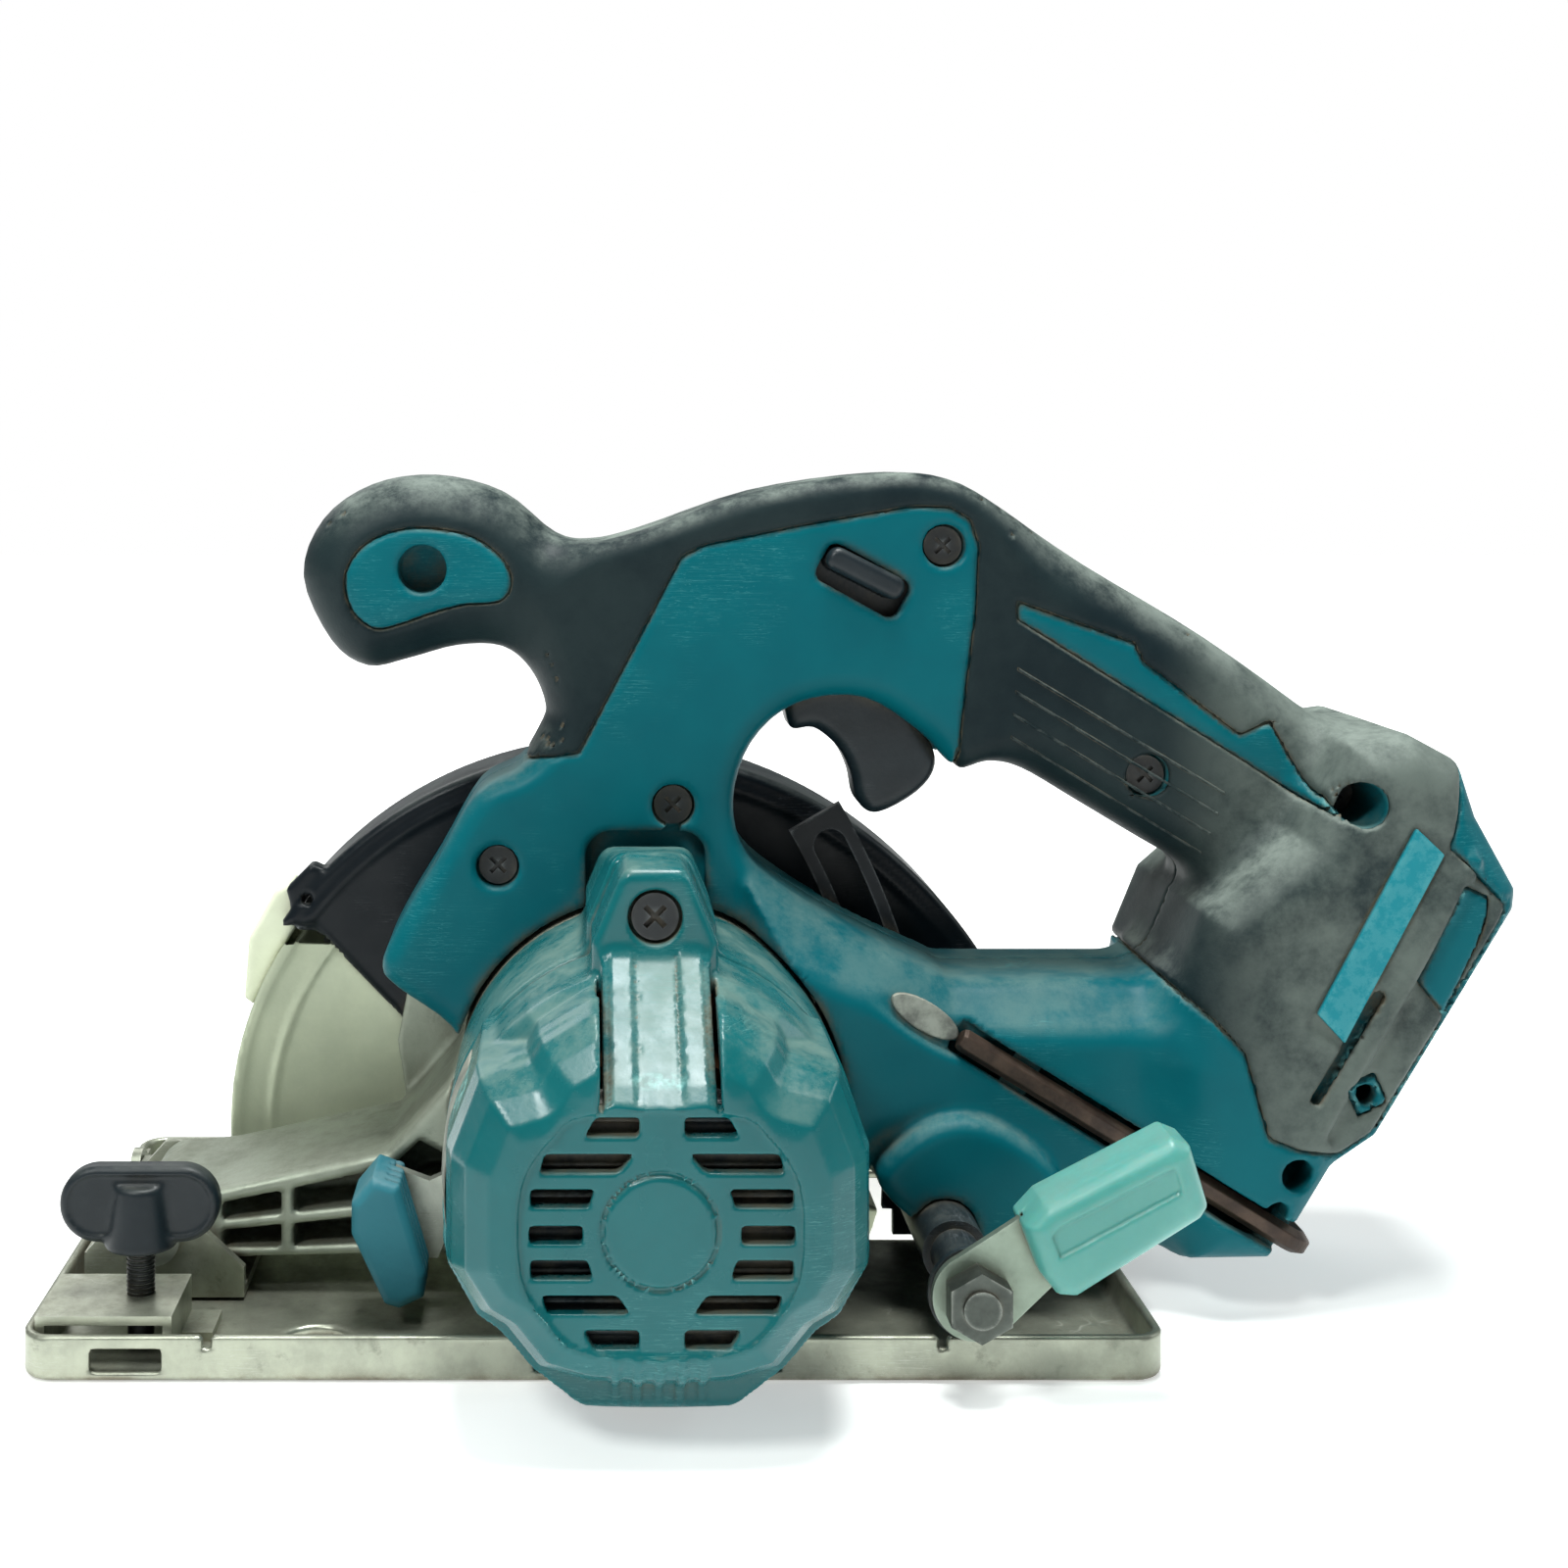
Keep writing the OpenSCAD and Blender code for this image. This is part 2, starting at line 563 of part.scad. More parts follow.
module depth_bolt() color(zinc) {
    bar_y(bolt_x, bolt_z, 4, -85.5, 14.5);
    bar_y(bolt_x, bolt_z, 7, 15.2, 19);
    bar_y(bolt_x, bolt_z, 4, 14.5, 15.2);
}

module depth_sleeve() color(dark) difference() {
    union() {
        bar_y(bolt_x, bolt_z, 7.4, -52, 11.4);
        bar_y(bolt_x, bolt_z, 5.6, -74, -52);
    }
    bar_y(bolt_x, bolt_z, 4, -80, 12);
}

module guard_spring() color(zinc) ring_y(blade_x, blade_z, 18.4, 16.1, 28.1, 30.8);

// Ledges behind the wrench
module wrench_clips() color(teal) for (t = [14, 58])
    translate([key_x, -29, key_z]) rotate([0, key_a, 0]) translate([t, 0, -6.4]) cube([7, 1.9, 12.8]);

// ---- Depth lever ----

module depth_nut() color(zinc) difference() {
    hex_y(bolt_x, bolt_z, 13, -84.5, -78);
    bar_y(bolt_x, bolt_z, 4 + run_gap, -90, -70);
}

module depth_washer() color(dark) ring_y(bolt_x, bolt_z, 10, 4 + run_gap, -76, -74.4);

module depth_lever_arm() color(zinc) difference() {
    union() {
        bar_y(bolt_x, bolt_z, 9.4, -78, -76);
        slab(-78, -76) polygon([[77, 29.6], [100, 44.5], [112, 47], [114, 40], [102, 28], [89, 15.4]]);
    }
    bar_y(bolt_x, bolt_z, 4 + run_gap, -90, -70);
}

module depth_lever_grip() color([0.35, 0.62, 0.6]) difference() {
    slab(-86, -68) polygon([[90.4, 38.6], [95, 43.6], [122, 57.6], [126, 56], [130, 43], [128.4, 40], [102, 23.6],
        [98, 24], [94, 29]]);
    slab(-78, -76) polygon([[77, 29.6], [100, 44.5], [112, 47], [114, 40], [102, 28], [89, 15.4]]);
}

// ---- Spindle and rotor ----

module spindle() color(zinc) difference() {
    union() {
        bar_y(blade_x, blade_z, 5, 0, 6);
        bar_y(blade_x, blade_z, 7, 6, 38);
        bar_y(blade_x, blade_z, 5, 38, 44);
    }
    bar_y(blade_x, blade_z, 3, 32, 50);
}

module drive_gear() color(zinc) difference() {
    translate([blade_x, 15, blade_z]) rotate([90, 0, 0]) rotate([0, 0, mesh_turn()]) linear_extrude(8)
        polygon(gear(gear_teeth, 0.8, 1.15, 0.12));
    bar_y(blade_x, blade_z, 7, 0, 20);
}

// Direction from the blade axis to the motor axis
line_a = atan2(motor_z - blade_z, motor_x - blade_x);
// Turns the drive gear so that a tooth gap faces the pinion
function mesh_turn() = line_a + 180 / gear_teeth;

module rotor_shaft() color(zinc) union() {
    bar_y(motor_x, motor_z, 4, -109.8, 6);
    translate([motor_x, 16, motor_z]) rotate([90, 0, 0]) rotate([0, 0, line_a + 180]) linear_extrude(10)
        polygon(gear(pinion_teeth, 0.8, 1.15, 0.12));
}

module inner_flange() color(zinc) ring_y(blade_x, blade_z, 17, 5, 38, blade_y - blade_t / 2);

blade_teeth = 24;
module saw_blade() color([0.72, 0.73, 0.74]) difference() {
    slab(blade_y - blade_t / 2, blade_y + blade_t / 2) translate([blade_x, blade_z])
        polygon([for (i = [0 : blade_teeth - 1]) let (a = i * 360 / blade_teeth, r = blade_d / 2) each [
            r * [cos(a), sin(a)], (r - 3) * [cos(a + 5), sin(a + 5)], (r - 4) * [cos(a + 9), sin(a + 9)],
            (r - 9) * [cos(a + 11.5), sin(a + 11.5)], (r - 8) * [cos(a + 13.6), sin(a + 13.6)]]]);
    bar_y(blade_x, blade_z, 5, 30, 50);
}

module outer_flange() color(zinc) ring_y(blade_x, blade_z, 17, 5, blade_y + blade_t / 2, 45.4);

module blade_bolt() color(zinc) {
    bar_y(blade_x, blade_z, 3, 33, 45.4);
    bar_y(blade_x, blade_z, 8, 45.4, 46.6);
    hex_y(blade_x, blade_z, 10, 46.6, 51);
}

module rotor_core() color([0.3, 0.3, 0.32]) ring_y(motor_x, motor_z, 17.8, 4, -95, -59);

module cooling_fan() color(dark) {
    ring_y(motor_x, motor_z, 12, 4, -50, -36);
    ring_y(motor_x, motor_z, 28, 12, -38, -36);
    for (i = [0 : 10]) translate([motor_x, -37.5, motor_z]) rotate([90, 0, 0]) rotate([0, 0, i * 360 / 11])
        translate([11.5, -0.8, 0]) cube([15, 1.6, 10]);
}

// ---- Lower guard ----

guard_a0 = 132;
guard_a1 = 345;

module lower_guard() color(cast) difference() {
    translate([blade_x, 0, blade_z]) union() {
        slab(31.4, 53) arc_band(84.6, 86.8, guard_a0, guard_a1);
        slab(31.4, 32.9) arc_band(20, 86.8, guard_a0, guard_a1);
        slab(51.6, 53) arc_band(52, 86.8, guard_a0, guard_a1);
        slab(31.4, 34) circle(22);
    }
    bar_y(blade_x, blade_z, 18, 30, 40);
}

module guard_hub() color(zinc) ring_y(blade_x, blade_z, 18, 16 + run_gap, 31.2, 34);

module guard_lip() color([0.8, 0.8, 0.7]) translate([blade_x, 0, blade_z]) slab(36.6, 53) polygon([
    for (a = [143, 150, 160]) 87.3 * [cos(a), sin(a)], 90 * [cos(160), sin(160)], 96 * [cos(150), sin(150)],
    97 * [cos(144), sin(144)], 94 * [cos(142), sin(142)]]);

// ---- Controls ----

module shaft_lock_arm() color(zinc) slab(-34, -31) polygon([[-46, 14], [-46, 35], [-38, 32], [-33.6, 34],
    [-33.6, 20], [-36, 14]]);

module shaft_lock_pad() color([0.12, 0.42, 0.52]) difference() {
    slab(-48, -28) polygon([[-55, 31], [-50, 37], [-44, 35], [-38, 15], [-38.4, 9.6], [-44, 7], [-47.4, 8],
        [-55, 24]]);
    slab(-34, -31) polygon([[-46, 14], [-46, 35], [-38, 32], [-33.6, 34], [-33.6, 20], [-36, 14]]);
}

module trigger() color(dark) difference() {
    slab(-7.6, 7.6) polygon(smooth([[49, 134.6], [48.4, 144], [56, 150], [72, 147], [82, 134], [85, 125.5],
        [80.5, 118.6], [70.6, 113.4], [65.7, 116.3], [64.1, 123.3], [61, 129.5], [55, 134.4]], 3));
    bar_y(trigger_x, trigger_z, 2 + run_gap, -10, 10);
}

module lock_off_lever() color(dark) slab(-23, 23) polygon([[54.6, 175.6], [57.4, 179], [75.4, 170], [75, 167.4],
    [73.4, 166.6]]);

module hex_wrench() color([0.25, 0.2, 0.16]) translate([key_x, key_y, key_z]) rotate([0, key_a, 0]) {
    rotate([0, 90, 0]) cylinder(r = 5 / sqrt(3), h = key_l, $fn = 6);
    translate([key_l - 5 / sqrt(3), 0, 0]) rotate([-90, 0, 0]) cylinder(r = 5 / sqrt(3), h = 16, $fn = 6);
}

// ---- Assembly ----
base_plate();
fence_bracket();
front_pivot_bracket();
rear_quadrant();
base_rivets();
fence_knob();
fence_stud();
front_hinge_bracket();
depth_pivot_pin();
depth_guide();
rear_tilt_bracket();
bevel_pins();
bevel_bolt();
bevel_lever();
gear_housing();
upper_guard();
motor_housing();
motor_end_cap();
shell_left();
shell_right();
overmould_left();
overmould_right();
stator();
controller_board();
switch_module();
terminal_block();
housing_screws();
cap_screws();
guard_screws();
motor_bearings();
spindle_bearings();
work_lamp();
depth_bolt();
depth_sleeve();
guard_spring();
wrench_clips();
depth_nut();
depth_washer();
depth_lever_arm();
depth_lever_grip();
spindle();
drive_gear();
inner_flange();
saw_blade();
outer_flange();
blade_bolt();
rotor_shaft();
rotor_core();
cooling_fan();
lower_guard();
guard_hub();
guard_lip();
shaft_lock_arm();
shaft_lock_pad();
trigger();
lock_off_lever();
hex_wrench();
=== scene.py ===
"""Looks of the cordless circular saw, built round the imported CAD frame.

Lengths are millimetres until a mesh is made. The near side, with the motor, is at -Y.
"""

import json
import math
from functools import reduce

import bmesh
import bpy
import numpy as np
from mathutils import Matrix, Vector


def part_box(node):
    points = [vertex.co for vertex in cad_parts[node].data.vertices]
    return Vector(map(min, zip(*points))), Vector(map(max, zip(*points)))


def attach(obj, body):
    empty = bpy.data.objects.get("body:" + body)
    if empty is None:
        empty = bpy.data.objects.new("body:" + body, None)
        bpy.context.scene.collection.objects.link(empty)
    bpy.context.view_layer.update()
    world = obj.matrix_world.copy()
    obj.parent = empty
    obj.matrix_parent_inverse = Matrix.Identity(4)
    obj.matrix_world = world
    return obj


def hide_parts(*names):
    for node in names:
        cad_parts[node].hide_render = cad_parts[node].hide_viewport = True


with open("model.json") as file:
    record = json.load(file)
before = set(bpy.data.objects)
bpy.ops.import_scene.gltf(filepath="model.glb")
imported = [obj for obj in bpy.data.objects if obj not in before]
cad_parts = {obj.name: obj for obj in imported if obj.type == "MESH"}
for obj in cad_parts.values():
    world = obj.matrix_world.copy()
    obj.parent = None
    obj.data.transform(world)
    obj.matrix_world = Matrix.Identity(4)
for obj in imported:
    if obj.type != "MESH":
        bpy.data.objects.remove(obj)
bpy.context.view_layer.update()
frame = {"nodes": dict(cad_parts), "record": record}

MM = 0.001
BODY_OF = {node: body for body, nodes in frame["record"]["behaviour"]["bodies"].items() for node in nodes}
SLOT_OF = {row["node"]: row["material_slot"] for row in frame["record"]["subparts"]}


def middle(node):
    """The centre of a CAD node's box, in millimetres."""
    low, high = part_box(node)
    return [(a + b) / 2 / MM for a, b in zip(low, high)]


BLADE_X, _, BLADE_Z = middle("saw_blade")
MOTOR_X, _, MOTOR_Z = middle("rotor_core")
BOLT_X, _, BOLT_Z = middle("depth_nut")
PIVOT_X, _, PIVOT_Z = middle("depth_pivot_pin")
FENCE_X, FENCE_Y, _ = middle("fence_stud")
CAP_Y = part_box("motor_end_cap")[0][1] / MM
MOTOR_R = 46
GRIP_HALF = 19
FOOT_HALF = 40
SKIN = 2
OUT_Y = -60
GUARD_GAP_Y = 17.2
QUADRANT_X = 113
BEVEL_Y, BEVEL_Z = 42, 9


# ---- Distance fields: every function takes x, y, z arrays in millimetres that broadcast ----


def curve_points(points, steps=4):
    """A smooth closed curve through points."""
    p = np.array(points, float)
    a, b, c, d = np.roll(p, 1, 0), p, np.roll(p, -1, 0), np.roll(p, -2, 0)
    rows = []
    for k in range(steps):
        t = k / steps
        bend = (2 * a - 5 * b + 4 * c - d) * t**2
        rows.append(0.5 * (2 * b + (c - a) * t + bend + (3 * b - a - 3 * c + d) * t**3))
    return np.stack(rows, 1).reshape(-1, 2)


class Outline:
    """The signed distance to a closed outline in (x, z), kept on a fine raster."""

    def __init__(self, points, margin=14, step=0.5):
        p = np.array(points, float)
        self.low = p.min(0) - margin
        n = np.ceil((p.max(0) + margin - self.low) / step).astype(int) + 1
        self.step = step
        gx = self.low[0] + step * np.arange(n[0])[:, None]
        gz = self.low[1] + step * np.arange(n[1])[None, :]
        best = np.full(n, 1e9)
        inside = np.zeros(n, bool)
        for a, b in zip(p, np.roll(p, -1, 0)):
            e = b - a
            wx, wz = gx - a[0], gz - a[1]
            t = np.clip((wx * e[0] + wz * e[1]) / max(e @ e, 1e-9), 0, 1)
            best = np.minimum(best, (wx - t * e[0]) ** 2 + (wz - t * e[1]) ** 2)
            if e[1]:
                crosses = ((gz >= a[1]) != (gz >= b[1])) & (gx < a[0] + (gz - a[1]) / e[1] * e[0])
                inside ^= crosses
        self.field = np.where(inside, -1, 1) * np.sqrt(best)

    def __call__(self, x, z):
        fx, fz = (x - self.low[0]) / self.step, (z - self.low[1]) / self.step
        cx = np.clip(fx, 0, self.field.shape[0] - 1.001)
        cz = np.clip(fz, 0, self.field.shape[1] - 1.001)
        i, j = cx.astype(int), cz.astype(int)
        u, v = cx - i, cz - j
        f = self.field
        near = (f[i, j] * (1 - u) * (1 - v) + f[i + 1, j] * u * (1 - v)
                + f[i, j + 1] * (1 - u) * v + f[i + 1, j + 1] * u * v)
        return near + self.step * np.hypot(fx - cx, fz - cz)


def smin(a, b, k):
    """The smaller of two distances, blended over k."""
    h = np.maximum(k - abs(a - b), 0) / k
    return np.minimum(a, b) - h * h * k / 4


def smax(a, b, k):
    """The larger of two distances, blended over k."""
    return -smin(-a, -b, k)


def corner(a, b, r=0):
    """Where two distances meet at a square corner; r is the radius that both were grown by."""
    return np.minimum(np.maximum(a, b), 0) + np.hypot(np.maximum(a, 0), np.maximum(b, 0)) - r


def slab(d2, y, y0, y1, r=0):
    """A flat outline's distance d2, given thickness from y0 to y1, with edges of radius r."""
    dy = abs(y - (y0 + y1) / 2) - (y1 - y0) / 2
    return corner(d2 + r, dy + r, r)


def chamfered(d2, y, y0, y1, cut, r):
    """Like slab, with flat chamfers along the edges."""
    dy = abs(y - (y0 + y1) / 2) - (y1 - y0) / 2
    return smax(smax(d2, dy, r), (d2 + dy + cut) / math.sqrt(2), r)


def rod(x, y, z, cx, cz, radius, y0, y1, r=0):
    """A round bar along Y about (cx, cz)."""
    return slab(np.hypot(x - cx, z - cz) - radius, y, y0, y1, r)


def motor_rod(x, y, z, radius, y0, y1, r=0):
    return rod(x, y, z, MOTOR_X, MOTOR_Z, radius, y0, y1, r)


def blade_rod(x, y, z, radius, y0, y1, r=0):
    return rod(x, y, z, BLADE_X, BLADE_Z, radius, y0, y1, r)


def box2(x, z, cx, cz, half_x, half_z, r=0, turn=0):
    """A rectangle with round corners, turned by degrees, as a flat distance."""
    c, s = math.cos(math.radians(turn)), math.sin(math.radians(turn))
    u = abs((x - cx) * c + (z - cz) * s) - half_x + r
    v = abs(-(x - cx) * s + (z - cz) * c) - half_z + r
    return corner(u, v, r)


def all_of(*fields):
    """Where every field is inside."""
    return reduce(np.maximum, fields)


def any_of(*fields):
    """Where at least one field is inside."""
    return reduce(np.minimum, fields)


# ---- From distance field to mesh ----


def net(field, low, high, step):
    """Surface nets: vertices and quads of the surface where field crosses zero."""
    low, step = np.array(low, float), np.array(step, float) * np.ones(3)
    n = np.ceil((np.array(high) - low) / step).astype(int) + 1
    x = (low[0] + step[0] * np.arange(n[0]))[:, None, None]
    y = (low[1] + step[1] * np.arange(n[1]))[None, :, None]
    z = (low[2] + step[2] * np.arange(n[2]))[None, None, :]
    f = np.broadcast_to(field(x, y, z), tuple(n)).astype(np.float32)
    cells = tuple(n - 1)
    total = np.zeros(cells + (3,), np.float32)
    count = np.zeros(cells, np.float32)
    quads = []
    ids = np.arange(np.prod(cells)).reshape(cells)
    for axis in range(3):
        o1, o2 = [k for k in range(3) if k != axis]
        a = np.take(f, range(n[axis] - 1), axis)
        b = np.take(f, range(1, n[axis]), axis)
        hit = (a < 0) != (b < 0)
        where = np.argwhere(hit)
        if not len(where):
            continue
        va, vb = a[hit], b[hit]
        point = where.astype(np.float32)
        point[:, axis] += va / (va - vb)
        around = []
        for d1, d2 in ((-1, -1), (0, -1), (0, 0), (-1, 0)):
            cell = where.copy()
            cell[:, o1] += d1
            cell[:, o2] += d2
            ok = ((cell >= 0) & (cell < np.array(cells))).all(1)
            c = cell[ok]
            np.add.at(total, tuple(c.T), point[ok])
            np.add.at(count, tuple(c.T), 1)
            around.append(np.where(ok, ids[tuple(np.clip(cell, 0, np.array(cells) - 1).T)], -1))
        quad = np.stack(around, 1)
        flip = (va < 0) == (axis == 1)
        quad[flip] = quad[flip][:, ::-1]
        quads.append(quad[(quad >= 0).all(1)])
    quads = np.concatenate(quads)
    used = np.unique(quads)
    lookup = np.full(ids.size, -1)
    lookup[used] = np.arange(len(used))
    v = (total.reshape(-1, 3)[used] / count.reshape(-1)[used, None]) * step + low
    return v, lookup[quads]


def settle(field, v, reach, rounds=3):
    """Moves the vertices onto the exact surface, by no more than reach in a round."""
    h = 0.06
    flattest = 0.2
    for _ in range(rounds):
        x, y, z = v.T
        f = field(x, y, z)
        g = np.stack([(field(x + h, y, z) - field(x - h, y, z)), (field(x, y + h, z) - field(x, y - h, z)),
                      (field(x, y, z + h) - field(x, y, z - h))], 1) / (2 * h)
        move = -f[:, None] * g / np.maximum((g * g).sum(1), flattest)[:, None]
        size = np.linalg.norm(move, axis=1)
        v = v + move * np.minimum(1, reach / np.maximum(size, 1e-6))[:, None]
    return v


def add_object(name, data):
    """A new object in the scene."""
    made = bpy.data.objects.new(name, data)
    bpy.context.scene.collection.objects.link(made)
    return made


def make_object(name, vertices, faces, smooth=True):
    """An object made from vertices in metres and faces."""
    mesh = bpy.data.meshes.new(name)
    mesh.from_pydata(np.asarray(vertices, float).tolist(), [], [list(map(int, q)) for q in faces])
    mesh.validate()
    mesh.polygons.foreach_set("use_smooth", [smooth] * len(mesh.polygons))
    mesh.update()
    return add_object(name, mesh)


BORDER = 2.3


def carve(name, field, low, high, step=1):
    """A mesh of the distance field inside the box low to high."""
    v, quads = net(field, np.array(low) - BORDER, np.array(high) + BORDER, step)
    v = settle(field, v, 0.5 * float(np.min(step)))
    return make_object(name, v * MM, quads)


def stand_for(piece, node, material=None):
    """piece replaces a CAD node, rides its body and takes its slot and material."""
    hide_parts(node)
    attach(piece, BODY_OF[node])
    paint(piece, material or SLOT_OF[node])


def carve_for(node, field, low, high, step, name=None, material=None):
    """Carves a piece, called name or node with _looks, that takes a CAD node's place."""
    stand_for(carve(f"{name or node}_looks", field, low, high, step), node, material)


def add_to(piece, node, material):
    """piece is an extra on a CAD node's body."""
    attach(piece, BODY_OF[node])
    paint(piece, material)


# ---- Materials ----


class Shader:
    """A short way to write a node tree."""

    def __init__(self, name):
        self.material = bpy.data.materials.new(name)
        self.material.use_nodes = True
        self.tree = self.material.node_tree
        self.bsdf = self.tree.nodes["Principled BSDF"]
        self.place = self.node("ShaderNodeTexCoord").outputs["Object"]

    def node(self, kind, **inputs):
        made = self.tree.nodes.new(kind)
        for key, value in inputs.items():
            self.feed(made, key.replace("_", " "), value)
        return made

    def feed(self, node, key, value):
        socket = node.inputs[int(key)] if key.isdigit() else node.inputs[key]
        if isinstance(value, bpy.types.NodeSocket):
            self.tree.links.new(value, socket)
        else:
            socket.default_value = value

    def surface(self, **inputs):
        """Sets inputs of the material's own shader."""
        for key, value in inputs.items():
            self.feed(self.bsdf, key.replace("_", " "), value)

    def math(self, operation, a, b=0, clamp=False):
        made = self.tree.nodes.new("ShaderNodeMath")
        made.operation = operation
        made.use_clamp = clamp
        self.feed(made, "0", a)
        self.feed(made, "1", b)
        return made.outputs[0]

    def times(self, a, b, clamp=False):
        return self.math("MULTIPLY", a, b, clamp)

    def noise(self, scale, detail=4, rough=0.6, stretch=None):
        place = self.place
        if stretch:
            mapping = self.node("ShaderNodeMapping", Vector=self.place, Scale=stretch[:3],
                                Rotation=[math.radians(a) for a in stretch[3:]])
            place = mapping.outputs[0]
        made = self.node("ShaderNodeTexNoise", Vector=place, Scale=scale, Detail=detail, Roughness=rough)
        return made.outputs["Fac"]

    def between(self, value, low, high):
        """0 below low and 1 above high."""
        made = self.node("ShaderNodeMapRange", Value=value, From_Min=low, From_Max=high)
        made.interpolation_type = "SMOOTHSTEP"
        return made.outputs[0]

    def mix(self, amount, a, b):
        made = self.tree.nodes.new("ShaderNodeMix")
        made.data_type = "RGBA"
        self.feed(made, "0", amount)
        self.feed(made, "6", a)
        self.feed(made, "7", b)
        return made.outputs[2]

    def creases(self, distance, inside=False):
        """Occlusion: near 0 deep in a crease, or at a sharp edge when inside is set."""
        made = self.node("ShaderNodeAmbientOcclusion", Distance=distance * MM)
        made.samples = 6
        made.inside = inside
        return made.outputs["AO"]

    def facing_up(self):
        normal = self.node("ShaderNodeNewGeometry").outputs["Normal"]
        split = self.node("ShaderNodeSeparateXYZ", Vector=normal)
        return split.outputs[2]

    def bump(self, height, distance, under=None):
        made = self.node("ShaderNodeBump", Height=height, Distance=distance * MM, Strength=1)
        if under is not None:
            self.feed(made, "Normal", under)
        return made.outputs[0]


def rgb(r, g, b):
    return (r, g, b, 1)


def scratches(s, scale, cut, angle):
    """Thin lines in one rough direction: 1 on a scratch."""
    lines = s.noise(scale, 2, 0.5, (1, 1, 26, 8, angle, 5))
    thin = s.math("ABSOLUTE", s.math("SUBTRACT", lines, 0.5))
    sparse = s.between(s.noise(34, 3), 0.52, 0.62)
    return s.times(s.math("SUBTRACT", 1, s.between(thin, 0, cut)), sparse)


PALE_RUBBER = (0.115, 0.14, 0.125)
# Crease tint: brown dust, and painted shade in creases where it is darker than the surface.
CREASE_DUST_AND_SHADE = (0.15, 0.125, 0.085)


def worn(name, base, shade, rough, metallic=0, grain=0, fine=900, dust=0.3, soil=(0.42, 0.38, 0.3),
         edge=0, rubbed=(0.6, 0.6, 0.58), scratch=0, scored=(0.5, 0.55, 0.53), coat=0, mottle=30,
         stain=0, sub=0, crease=5, pale_from=0, shine=0.5):
    """A used surface: two tones, a brown dusty tint in creases that is painted shade where it is darker than
    the surface, a dusty tint on upward faces that is a painted top light where it is lighter than the
    surface, rubbed edges, scratches and a fine grain.
    """
    s = Shader(name)
    blotches = s.between(s.noise(mottle, 6, 0.65), 0.32, 0.68)
    color = s.mix(blotches, rgb(*base), rgb(*shade))
    if pale_from:
        along = s.node("ShaderNodeSeparateXYZ", Vector=s.place).outputs[0]
        fade = s.times(s.between(along, pale_from, pale_from + 0.03), 0.8)
        patches = s.between(s.noise(26, 7, 0.7), 0.30, 0.62)
        color = s.mix(s.times(fade, patches), color, rgb(*PALE_RUBBER))
    if stain:
        spots = s.between(s.noise(160, 5, 0.7), 0.56, 0.74)
        color = s.mix(s.times(spots, stain), color, rgb(*[0.45 * c for c in base]))
    roughness = s.math("ADD", rough, s.times(s.math("SUBTRACT", s.noise(70, 5), 0.5), 0.35))
    if edge:
        rim = s.between(s.creases(1.6, inside=True), 0.62, 0.30)
        broken = s.between(s.noise(220, 5, 0.7), 0.42, 0.58)
        rub = s.times(s.times(rim, broken), edge, clamp=True)
        color = s.mix(rub, color, rgb(*rubbed))
    if scratch:
        lines = s.math("MAXIMUM", scratches(s, 60, 0.012, 35), scratches(s, 85, 0.010, -55))
        amount = s.times(lines, scratch, clamp=True)
        color = s.mix(amount, color, rgb(*scored))
        roughness = s.math("ADD", roughness, s.times(amount, 0.25))
    if dust:
        # Painted light: the crease tint stands for shade as well as dust where it is darker than the
        # surface, and the upward tint stands for light from above as well as dust where it is lighter than
        # the surface.
        deep = s.between(s.creases(crease), 0.85, 0.35)
        top = s.times(s.between(s.facing_up(), 0.25, 0.95), 0.7)
        patch = s.between(s.noise(48, 8, 0.75), 0.36, 0.66)
        dust_and_light_on_top = s.times(top, s.times(patch, dust), clamp=True)
        dust_and_shade_in_creases = s.times(deep, s.times(patch, dust * 1.15), clamp=True)
        color = s.mix(dust_and_light_on_top, color, rgb(*soil))
        color = s.mix(dust_and_shade_in_creases, color, rgb(*CREASE_DUST_AND_SHADE))
        dust_and_shading_cover = s.math("MAXIMUM", dust_and_light_on_top, dust_and_shade_in_creases)
        roughness = s.math("ADD", roughness, s.times(dust_and_shading_cover, 0.4), clamp=True)
    s.surface(Base_Color=color, Roughness=roughness, Metallic=metallic, Specular_IOR_Level=shine,
              Coat_Weight=coat, Coat_Roughness=0.3)
    if sub:
        s.surface(Subsurface_Weight=sub, Subsurface_Scale=0.004)
    if grain:
        normal = s.bump(s.noise(fine, 3, 0.6), grain)
        s.surface(Normal=s.bump(s.noise(90, 4), 0.12, normal))
    return s.material


def look(base, shade, rough, **wear):
    """The settings that worn() takes for one material."""
    return dict(base=base, shade=shade, rough=rough, **wear)


